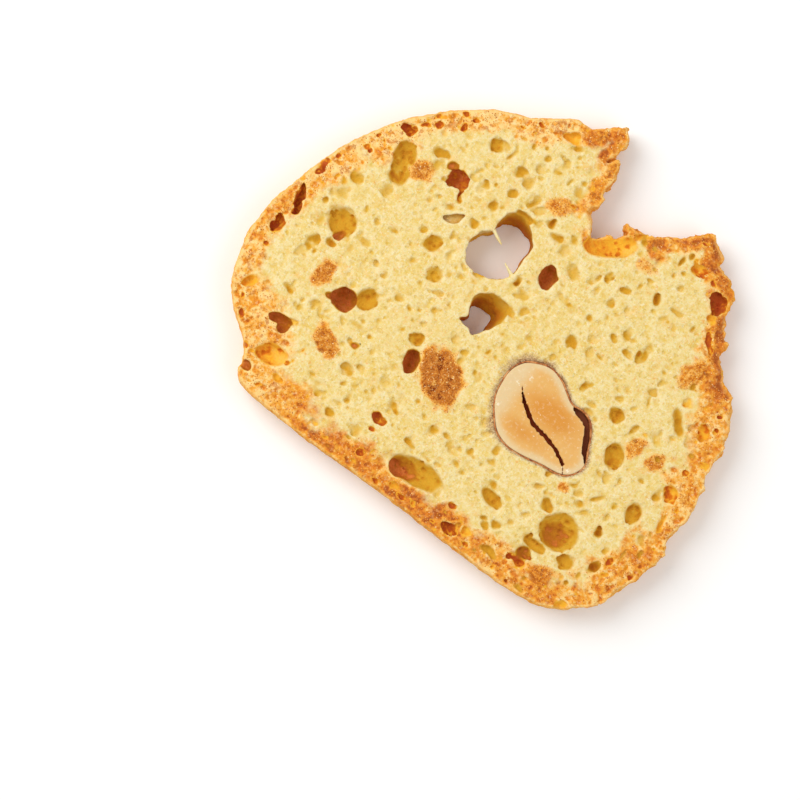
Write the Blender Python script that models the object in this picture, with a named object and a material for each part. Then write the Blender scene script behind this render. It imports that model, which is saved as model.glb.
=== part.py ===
"""One dry slice cut across a cheese-and-almond biscuit loaf.

It has an airy, twice-baked crumb inside a browned crust, bubbles that the knife has opened, three
gaps right through, a torn crown, and one almond cut across with its brown skin partly peeled off.
"""

import math

import bmesh
import bpy
import numpy as np
from mathutils import Matrix

MM = 0.001

# Driving sizes in millimetres. X runs along the loaf's flat base, Y from the base to the crown
# and Z through the slice, up from the face that it rests on.
THICKNESS = 4.5
GAP = 0.3  # clearance between pieces that touch
SKIN_THICKNESS = 0.3
SKIN_RECESS = 0.15  # the skin ends this far below and above the two cut faces
PEEL_WIDTH = 0.75  # widest gap where the skin has come off the kernel
PEEL_PLACE = (14.9, -4.9)  # middle of that gap
PEEL_REACH = 3.2  # how far along the skin the gap runs to either side
CRACK_WIDTH = 0.5
CRACK_BLUNTNESS = 0.5  # below 1, the crack keeps its width until close to its two ends
FLARE_POWER = 1.5  # above 1, a gap's flare stays on the side that it leans to
OVERCUT = 1.0  # how far a cutter runs past the faces
OUTLINE_STEP = 1.1  # spacing of the points on the crust's curve
HOLE_STEP = 0.7
ALMOND_STEP = 0.6
BALL_DETAIL = 2  # subdivisions of each bubble
SMOOTH_ANGLE = 40  # edges bent by more degrees than this stay sharp

CRUMB_LOOK = {"colour": (0.88, 0.67, 0.27), "roughness": 0.85}
KERNEL_LOOK = {"colour": (0.84, 0.60, 0.30), "roughness": 0.5}
SKIN_LOOK = {"colour": (0.30, 0.11, 0.035), "roughness": 0.6}

# The crust's wall leans in a little towards both cut faces: (share of the thickness, scale).
WALL = ((0.0, 0.988), (0.3, 0.998), (0.75, 1.0), (1.0, 0.994))

# The baked outline from the torn tip of the crown, down the left side, along the flat base and
# up the right side. A smooth curve runs through these knots.
CRUST = [
    (-2.1, 26.7), (-4.2, 25.6), (-5.6, 24.3), (-7.6, 24.2), (-12.2, 21.1), (-18.0, 18.1),
    (-24.8, 11.3), (-29.2, 2.9), (-31.4, -5.9), (-30.9, -13.1), (-28.1, -18.2), (-24.3, -21.3),
    (-22.9, -23.2), (-20.9, -25.8), (-4.7, -26.3), (17.5, -26.6), (24.7, -25.2), (28.8, -21.8),
    (30.4, -17.9), (31.9, -12.2), (31.1, -10.4), (31.5, -8.0), (31.3, -2.6), (30.5, -1.7),
    (30.5, 1.9), (29.8, 3.1), (27.2, 8.1),
]

# The broken edge from there back to the tip, by way of the notch, with straight facets.
TORN_EDGE = [
    (26.3, 8.3), (23.2, 11.4), (23.5, 13.4), (22.5, 13.4), (21.6, 14.3), (20.7, 17.0),
    (20.3, 18.7), (19.4, 18.6), (18.9, 19.6), (16.8, 20.0), (16.5, 21.1), (14.1, 22.7),
    (8.2, 18.2), (4.4, 17.5), (5.4, 16.4), (4.5, 15.4), (3.6, 15.2), (2.2, 13.8),
    (0.0, 15.7), (1.0, 18.3), (0.3, 18.5), (0.7, 20.2), (-0.5, 23.0), (-1.6, 22.3),
    (-0.8, 25.2), (-1.2, 26.1),
]

# Gaps right through the crumb. The rim is the one on the lower face. Towards the upper face the
# wall leans out by the flare, on the side that the turn points to.
THROUGH_GAPS = {
    "great_hole": {
        "rim": [
            (-2.8, 5.3), (-2.9, 7.5), (-3.3, 8.5), (-4.6, 8.9), (-5.9, 9.1), (-7.0, 8.5),
            (-7.6, 7.7), (-7.5, 6.9), (-8.5, 6.1), (-9.2, 4.8), (-8.9, 3.3), (-7.5, 2.1),
            (-5.2, 2.3), (-3.8, 3.2), (-3.1, 4.2),
        ],
        "turn": 110,
        "flare": 2.0,
    },
    "slanting_hole": {
        "rim": [
            (-1.8, -1.6), (-2.9, -1.1), (-4.6, -1.3), (-4.1, -2.9), (-4.8, -3.7), (-2.5, -4.4),
            (-1.7, -2.4),
        ],
        "turn": 72,
        "flare": 2.6,
    },
    "slit": {
        "rim": [(-11.9, 6.0), (-13.1, 5.3), (-13.4, 4.9), (-12.8, 4.8), (-12.2, 5.2)],
        "turn": 80,
        "flare": 0.6,
    },
}

# The larger bubbles that the cut has opened: (x, y, length, width, turn in degrees, depth).
BUBBLES = [
    # crown and upper left
    (-6.8, 22.0, 1.7, 1.2, 10, 1.4), (-13.5, 15.7, 2.0, 1.7, 0, 1.3),
    (-11.4, 16.0, 1.7, 0.9, 80, 1.8), (-23.2, 10.9, 1.9, 1.7, 0, 2.2),
    (-14.7, 9.4, 2.8, 2.4, 0, 3.2), (-20.8, 5.8, 2.7, 2.2, -30, 2.0),
    (-28.8, 1.3, 2.7, 0.9, 80, 1.8), (-5.9, 12.8, 2.2, 1.3, 80, 1.2),
    (0.6, 6.5, 2.9, 2.3, -70, 3.3),
    # left side and base
    (-23.1, -2.9, 3.8, 3.6, 0, 1.3), (-24.5, -6.8, 2.3, 1.4, 90, 1.2),
    (-28.8, -3.8, 4.0, 1.4, -70, 2.8), (-29.4, -7.7, 2.4, 1.4, -70, 1.8),
    (-17.4, -10.3, 3.1, 2.8, 0, 3.4), (-21.9, -17.1, 2.8, 1.8, 0, 3.2),
    (-20.2, -20.9, 3.2, 1.8, 10, 1.2), (-7.5, -8.8, 1.8, 1.6, 0, 1.4),
    (-6.4, -11.5, 2.9, 2.0, -75, 3.6), (1.5, -21.4, 6.4, 2.8, 0, 1.6),
    (-0.1, -22.6, 3.6, 1.9, 0, 3.4), (9.0, -24.7, 1.7, 1.4, 0, 1.8),
    (11.1, -18.9, 3.2, 1.8, -12, 1.4),
    # right side
    (19.9, -17.4, 4.9, 4.7, 0, 1.9), (19.5, -18.0, 3.0, 2.8, 0, 3.0),
    (17.9, -22.1, 2.1, 1.9, 0, 2.8), (17.8, -23.3, 2.0, 1.2, 0, 1.7),
    (17.0, -2.0, 2.2, 1.6, -70, 1.2), (19.9, -6.1, 3.4, 2.5, -60, 2.4),
    (27.9, -5.9, 2.3, 1.5, -55, 2.6), (25.7, -10.3, 2.7, 2.0, -75, 1.7),
    (23.7, 1.7, 3.7, 1.0, -48, 1.8), (15.7, 5.6, 1.9, 1.1, -60, 1.5),
    (12.8, 12.4, 1.9, 1.3, -60, 1.8),
    # torn crown: the two smooth hollows that the break runs through, and the crust's pits
    (3.9, 13.5, 6.6, 3.0, 30, 1.9), (0.1, 21.0, 3.8, 1.7, 100, 1.3),
    (21.1, 11.6, 2.8, 0.9, -50, 1.6), (19.6, 14.3, 1.9, 1.1, -60, 1.6),
    (19.0, 16.7, 2.7, 2.0, -70, 3.0), (14.9, 18.3, 1.9, 1.6, 20, 2.2),
]

# The middle of the almond's skin, round the cut kernel.
ALMOND_SKIN = [
    (17.7, -9.2), (17.0, -7.6), (16.1, -5.7), (15.1, -4.5), (13.6, -4.0), (12.2, -4.1),
    (10.8, -3.3), (9.4, -2.5), (7.7, -2.1), (6.0, -2.5), (4.5, -3.4), (3.7, -5.0),
    (3.7, -7.0), (4.1, -8.8), (5.2, -10.6), (6.7, -12.1), (8.6, -12.8), (10.8, -12.7),
    (13.4, -12.2), (15.9, -11.8), (17.2, -10.8),
]

# The crack between the two halves of the kernel.
ALMOND_CRACK = [
    (6.1, -6.1), (7.4, -7.2), (9.0, -8.0), (9.8, -8.7), (12.2, -9.2), (14.2, -9.9), (15.4, -10.6),
]


def material(name, look):
    made = bpy.data.materials.new(name)
    made.use_nodes = True
    shader = made.node_tree.nodes["Principled BSDF"]
    shader.inputs["Base Color"].default_value = (*look["colour"], 1.0)
    shader.inputs["Roughness"].default_value = look["roughness"]
    shader.inputs["Metallic"].default_value = 0.0
    return made


def new_object(name, mesh_data, made_of=None):
    mesh = bpy.data.meshes.new(name)
    mesh_data.transform(Matrix.Scale(MM, 4))
    mesh_data.to_mesh(mesh)
    mesh_data.free()
    made = bpy.data.objects.new(name, mesh)
    bpy.context.scene.collection.objects.link(made)
    if made_of:
        mesh.materials.append(made_of)
        mesh.shade_smooth()
        mesh.set_sharp_from_angle(angle=math.radians(SMOOTH_ANGLE))
    return made


def curve_through(knots, step, closed=True):
    """Points about step apart on a Catmull-Rom curve through the knots."""
    knots = np.array(knots, float)
    count = len(knots)
    points = []
    for i in range(count if closed else count - 1):
        if closed:
            before, here, there, after = (knots[(i + k) % count] for k in (-1, 0, 1, 2))
        else:
            before, here = knots[max(i - 1, 0)], knots[i]
            there, after = knots[i + 1], knots[min(i + 2, count - 1)]
        pieces = max(1, round(float(np.linalg.norm(there - here)) / step))
        for k in range(pieces):
            t = k / pieces
            points.append(0.5 * (
                2 * here
                + (there - before) * t
                + (2 * before - 5 * here + 4 * there - after) * t ** 2
                + (3 * here - before - 3 * there + after) * t ** 3
            ))
    if not closed:
        points.append(knots[-1])
    return np.array(points)


def moved_out(outline, distance):
    """A counter-clockwise closed outline with each point moved out along its normal."""
    along = np.roll(outline, -1, axis=0) - np.roll(outline, 1, axis=0)
    normal = np.stack([along[:, 1], -along[:, 0]], axis=1)
    normal /= np.linalg.norm(normal, axis=1, keepdims=True)
    return outline + normal * np.reshape(distance, (-1, 1))


def lofted(rings, heights):
    """A closed solid through counter-clockwise outlines of equal length, lowest first."""
    solid = bmesh.new()
    levels = [
        [solid.verts.new((x, y, height)) for x, y in ring] for ring, height in zip(rings, heights)
    ]
    for lower, upper in zip(levels, levels[1:]):
        for i in range(len(lower)):
            k = (i + 1) % len(lower)
            solid.faces.new((lower[i], lower[k], upper[k], upper[i]))
    solid.faces.new(levels[0][::-1])
    solid.faces.new(levels[-1])
    return solid


def upright(outline, low, high):
    return lofted([outline, outline], [low, high])


def crust_outline():
    return np.concatenate([curve_through(CRUST, OUTLINE_STEP, closed=False), TORN_EDGE])


def crust_body(crumb):
    outline = crust_outline()
    rings = [outline * scale for _, scale in WALL]
    heights = [share * THICKNESS for share, _ in WALL]
    return new_object("biscuit", lofted(rings, heights), crumb)


def leaned_out(rim, turn, flare):
    """The rim with each point moved the way the turn points, the most on that side."""
    towards = np.array([math.cos(math.radians(turn)), math.sin(math.radians(turn))])
    ahead = (rim - rim.mean(axis=0)) @ towards
    share = np.clip(ahead / ahead.max(), 0, 1) ** FLARE_POWER
    return rim + np.outer(share * flare, towards)


def hole_cutter(name, rim, turn, flare):
    lower = curve_through(rim, HOLE_STEP)
    upper = leaned_out(lower, turn, flare)
    heights = [-OVERCUT, 0, THICKNESS, THICKNESS + OVERCUT]
    return new_object(name, lofted([lower, lower, upper, upper], heights))


def bubble_cutter(name, x, y, length, width, turn, depth):
    """An ellipsoid whose widest level is the upper face."""
    ball = bmesh.new()
    bmesh.ops.create_icosphere(ball, subdivisions=BALL_DETAIL, radius=1.0)
    ball.transform(
        Matrix.Translation((x, y, THICKNESS))
        @ Matrix.Rotation(math.radians(turn), 4, "Z")
        @ Matrix.Diagonal((length / 2, width / 2, depth, 1))
    )
    return new_object(name, ball)


def cut_with(target, cutters, label):
    """Takes the cutters out of the target. They stay in a collection that isn't rendered."""
    group = bpy.data.collections.new(label)
    bpy.context.scene.collection.children.link(group)
    for cutter in cutters:
        bpy.context.scene.collection.objects.unlink(cutter)
        group.objects.link(cutter)
        cutter.hide_render = True
        cutter.display_type = "WIRE"
    cut = target.modifiers.new(label, "BOOLEAN")
    cut.operation = "DIFFERENCE"
    cut.solver = "EXACT"
    cut.operand_type = "COLLECTION"
    cut.collection = group


def skin_middle():
    return curve_through(ALMOND_SKIN, ALMOND_STEP)


def peel(outline):
    """How far the skin stands off the kernel at each point of the outline."""
    away = np.linalg.norm(outline - np.array(PEEL_PLACE), axis=1)
    return PEEL_WIDTH * np.clip(1 - (away / PEEL_REACH) ** 2, 0, 1)


def almond_pocket():
    outline = moved_out(skin_middle(), SKIN_THICKNESS / 2 + GAP)
    return new_object("almond_pocket", upright(outline, -OVERCUT, THICKNESS + OVERCUT))


def almond_skin(brown):
    middle = skin_middle()
    low, high = SKIN_RECESS, THICKNESS - SKIN_RECESS
    ring = new_object(
        "almond_skin", upright(moved_out(middle, SKIN_THICKNESS / 2), low, high), brown
    )
    inside = moved_out(middle, -SKIN_THICKNESS / 2)
    core = new_object("skin_core", upright(inside, -OVERCUT, THICKNESS + OVERCUT))
    cut_with(ring, [core], "hollow")


def almond_kernel(cream):
    middle = skin_middle()
    outline = moved_out(middle, -(SKIN_THICKNESS / 2 + GAP + peel(middle)))
    kernel = new_object("almond", upright(outline, 0, THICKNESS), cream)
    line = curve_through(ALMOND_CRACK, ALMOND_STEP, closed=False)
    along = np.gradient(line, axis=0)
    side = np.stack([-along[:, 1], along[:, 0]], axis=1)
    side /= np.linalg.norm(side, axis=1, keepdims=True)
    taper = np.sin(np.linspace(0, math.pi, len(line))) ** CRACK_BLUNTNESS
    half = side * (CRACK_WIDTH / 2 * taper)[:, None]
    slot = np.concatenate([line[:1], (line - half)[1:-1], line[-1:], (line + half)[-2:0:-1]])
    crack = new_object("crack", upright(slot, -OVERCUT, THICKNESS + OVERCUT))
    cut_with(kernel, [crack], "split")


def main():
    for old in list(bpy.data.objects):
        bpy.data.objects.remove(old)

    crumb = material("toasted crumb", CRUMB_LOOK)
    cream = material("almond flesh", KERNEL_LOOK)
    brown = material("almond skin", SKIN_LOOK)

    cutters = [hole_cutter(name, **gap) for name, gap in THROUGH_GAPS.items()]
    cutters += [bubble_cutter(f"bubble_{i:02d}", *sizes) for i, sizes in enumerate(BUBBLES)]
    cutters.append(almond_pocket())
    cut_with(crust_body(crumb), cutters, "openings")
    almond_kernel(cream)
    almond_skin(brown)

    # The origin is under the middle of the slice's box.
    outline = crust_outline()
    middle = (outline.min(axis=0) + outline.max(axis=0)) / 2
    centre = bpy.data.objects.new("slice_centre", None)
    bpy.context.scene.collection.objects.link(centre)
    centre.location = (-middle[0] * MM, -middle[1] * MM, 0)
    for made in bpy.data.objects:
        if made.type == "MESH":
            made.parent = centre


main()
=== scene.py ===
import math

import bmesh
import bpy
import numpy as np
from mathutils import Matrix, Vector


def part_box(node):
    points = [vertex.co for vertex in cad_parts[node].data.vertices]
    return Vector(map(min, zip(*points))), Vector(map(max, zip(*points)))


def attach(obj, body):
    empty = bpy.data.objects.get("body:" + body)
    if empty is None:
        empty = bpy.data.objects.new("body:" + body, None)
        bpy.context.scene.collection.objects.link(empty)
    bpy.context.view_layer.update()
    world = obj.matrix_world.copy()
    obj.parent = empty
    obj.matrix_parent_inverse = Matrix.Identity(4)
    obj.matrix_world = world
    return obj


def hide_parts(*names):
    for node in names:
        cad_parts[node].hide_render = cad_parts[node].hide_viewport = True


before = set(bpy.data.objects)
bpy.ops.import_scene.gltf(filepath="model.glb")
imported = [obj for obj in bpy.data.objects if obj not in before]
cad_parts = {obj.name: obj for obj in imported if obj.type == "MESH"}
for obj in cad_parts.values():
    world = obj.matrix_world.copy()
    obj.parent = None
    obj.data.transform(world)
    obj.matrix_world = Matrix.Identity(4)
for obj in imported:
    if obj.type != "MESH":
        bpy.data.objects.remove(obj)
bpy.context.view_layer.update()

import openvdb
from mathutils import Euler, Matrix, Vector

# Everything is worked out in millimetres, with X along the loaf's flat base, Y towards the crown and
# Z up through the slice, and goes to the frame's origin and to metres at the very end.

mm = 0.001


# the slice's shape

slab = {
    "voxel": 0.15,
    "mostFaces": 192000,
    "lowerPlain": 0.95,   # how much more the lower face is thinned
    "thinFactor": 0.01,
    "edgeRadius": 0.25,
    "tipRise": 0.55,   # how far the torn tip is drawn out, and over how much of the outline
    "tipSpread": 1.6,
    "crustBand": 3.3,   # how far the bake reaches in from the crust, and from the tear
    "tearBand": 2.1,
    "crumbRelief": 0.07,
    "crustRelief": 0.17,
    "toastRelief": 0.17,
    "proudMost": 0.10,   # bumps on the upper face stop here
    "gapLean": 0.12,   # how far a gap's lower rim is drawn towards the crown
}

# baked outline, from the torn tip down the left, along the base and up the right
crustKnots = [
    (-2.1, 26.7), (-4.2, 25.6), (-5.6, 24.3), (-7.6, 24.2), (-9.6, 22.9), (-12.2, 21.1),
    (-15.0, 19.9), (-18.0, 18.1), (-21.0, 15.4), (-24.8, 11.3), (-27.5, 6.8), (-29.2, 2.9),
    (-30.4, -1.6), (-31.4, -5.9), (-31.5, -9.5), (-30.9, -13.1), (-29.8, -16.0), (-28.1, -18.2),
    (-26.0, -20.0), (-24.3, -21.3), (-22.9, -23.2), (-22.6, -24.7), (-20.9, -25.8), (-17.0, -26.2),
    (-11.0, -26.5), (-4.7, -26.3), (3.0, -26.4), (10.5, -26.5), (17.5, -26.6), (21.8, -26.2),
    (24.7, -25.2), (27.1, -23.4), (28.8, -21.8), (29.5, -20.0), (30.4, -17.9), (31.0, -15.7),
    (31.9, -12.2), (31.1, -10.4), (31.5, -8.0), (31.5, -5.2), (31.1, -3.5), (31.3, -2.6),
    (30.5, -1.7), (30.3, 0.6), (30.5, 1.9), (29.8, 3.1), (28.8, 5.2), (27.2, 8.1),
]

# broken edge from there back to the tip, by way of the notch
tornEdge = [
    (26.3, 8.3), (25.4, 8.8), (24.7, 10.0), (23.6, 10.8), (23.2, 11.4), (23.5, 13.4),
    (22.5, 13.4), (21.6, 14.3), (21.0, 15.6), (20.7, 17.0), (20.8, 18.0), (20.3, 18.7),
    (19.4, 18.6), (18.9, 19.6), (16.8, 20.0), (16.5, 21.1), (15.6, 21.6), (14.1, 22.7),
    (12.2, 21.6), (10.8, 20.2), (9.3, 19.4), (8.2, 18.2), (5.9, 17.8), (4.4, 17.5),
    (4.7, 16.9), (5.4, 16.4), (4.5, 15.4), (3.6, 15.2), (2.7, 14.1), (2.2, 13.8),
    (1.1, 15.0), (0.0, 15.7), (0.1, 16.3), (0.6, 16.9), (0.6, 17.7), (1.0, 18.3),
    (0.3, 18.5), (0.2, 19.2), (0.7, 20.2), (0.1, 21.9), (-0.5, 23.0), (-0.9, 23.0),
    (-1.6, 22.3), (-1.3, 23.3), (-1.1, 24.5), (-0.8, 25.2), (-1.2, 26.1),
]

# wall lean: share of the thickness, and how far in from the outline
wallLean = [(0.0, 0.36), (0.3, 0.06), (0.75, 0.0), (1.0, 0.18)]

# gaps right through: rim on the lower face, rim on the upper face
throughGaps = {
    "greatHole": (
        [(-2.8, 5.3), (-3.1, 6.4), (-2.9, 7.5), (-3.1, 8.7), (-4.3, 9.4), (-5.7, 9.6),
         (-7.1, 9.1), (-7.8, 8.1), (-7.7, 7.0), (-8.7, 6.1), (-9.3, 4.8), (-8.9, 3.2),
         (-7.5, 2.1), (-5.2, 2.3), (-3.8, 3.2), (-3.1, 4.2)],
        [(-2.8, 5.3), (-2.9, 6.4), (-2.8, 7.5), (-3.0, 8.4), (-4.2, 9.7), (-5.8, 10.9),
         (-7.2, 10.3), (-7.9, 8.6), (-7.8, 7.1), (-8.8, 6.2), (-9.4, 4.9), (-9.0, 3.1),
         (-7.5, 1.9), (-5.0, 2.1), (-3.6, 3.0), (-2.9, 4.1)],
    ),
    "slantingHole": (
        [(-1.8, -1.6), (-2.0, -1.2), (-2.9, -1.1), (-4.0, -1.1), (-4.6, -1.3), (-4.6, -1.8),
         (-4.1, -2.9), (-4.8, -3.7), (-3.4, -4.1), (-2.5, -4.4), (-1.9, -3.5), (-1.7, -2.4)],
        [(-0.4, 0.0), (-0.8, 1.0), (-2.2, 1.3), (-3.8, 0.9), (-4.8, 0.0), (-4.9, -1.3),
         (-4.2, -2.9), (-4.9, -3.8), (-3.4, -4.2), (-2.5, -4.5), (-1.7, -3.3), (-0.6, -1.6)],
    ),
    "slit": (
        [(-14.2, 4.5), (-14.6, 4.2), (-14.7, 3.8), (-14.4, 3.6), (-14.0, 3.8), (-13.9, 4.2)],
        [(-11.6, 6.6), (-12.4, 6.2), (-13.2, 5.6), (-13.7, 4.8), (-12.9, 4.7), (-12.0, 5.2)],
    ),
}

# pale threads of crumb left standing in the great hole, from root to tip
spurs = [((-8.6, 7.6), (-6.1, 6.35)), ((-2.5, 3.9), (-4.4, 4.8))]

# How each kind of bubble is cut: its depth as a share of its mean width and at most, how far its
# centre lies under the face as a share of that depth, how much painted shade its wall takes and its rim
# as a share of that, over what depth that painted shade deepens, how far it leans to red, how soft its
# rim is and how ragged.
kindWords = ("depth", "most", "under", "tone", "rim", "fade", "red", "soft", "ragged")
bubbleKinds = {
    "shallow": (0.26, 0.6, 0.0, 0.34, 0.12, 0.4, 0.0, 1.0, 1.3),
    "golden": (0.34, 1.1, 0.0, 0.46, 0.12, 0.5, 0.0, 0.8, 1.3),
    "orange": (0.36, 1.2, 0.0, 0.55, 0.60, 0.3, 1.0, 0.6, 1.6),
    "brown": (0.55, 1.6, 0.1, 0.78, 0.20, 1.0, 0.0, 0.6, 1.2),
    "red": (0.68, 2.6, 0.3, 1.0, 0.80, 0.5, 0.8, 0.12, 1.9),
    "deep": (0.88, 3.0, 0.3, 1.0, 0.45, 0.6, 0.1, 0.2, 0.9),
}
bubbleKinds = {name: dict(zip(kindWords, values)) for name, values in bubbleKinds.items()}

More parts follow.
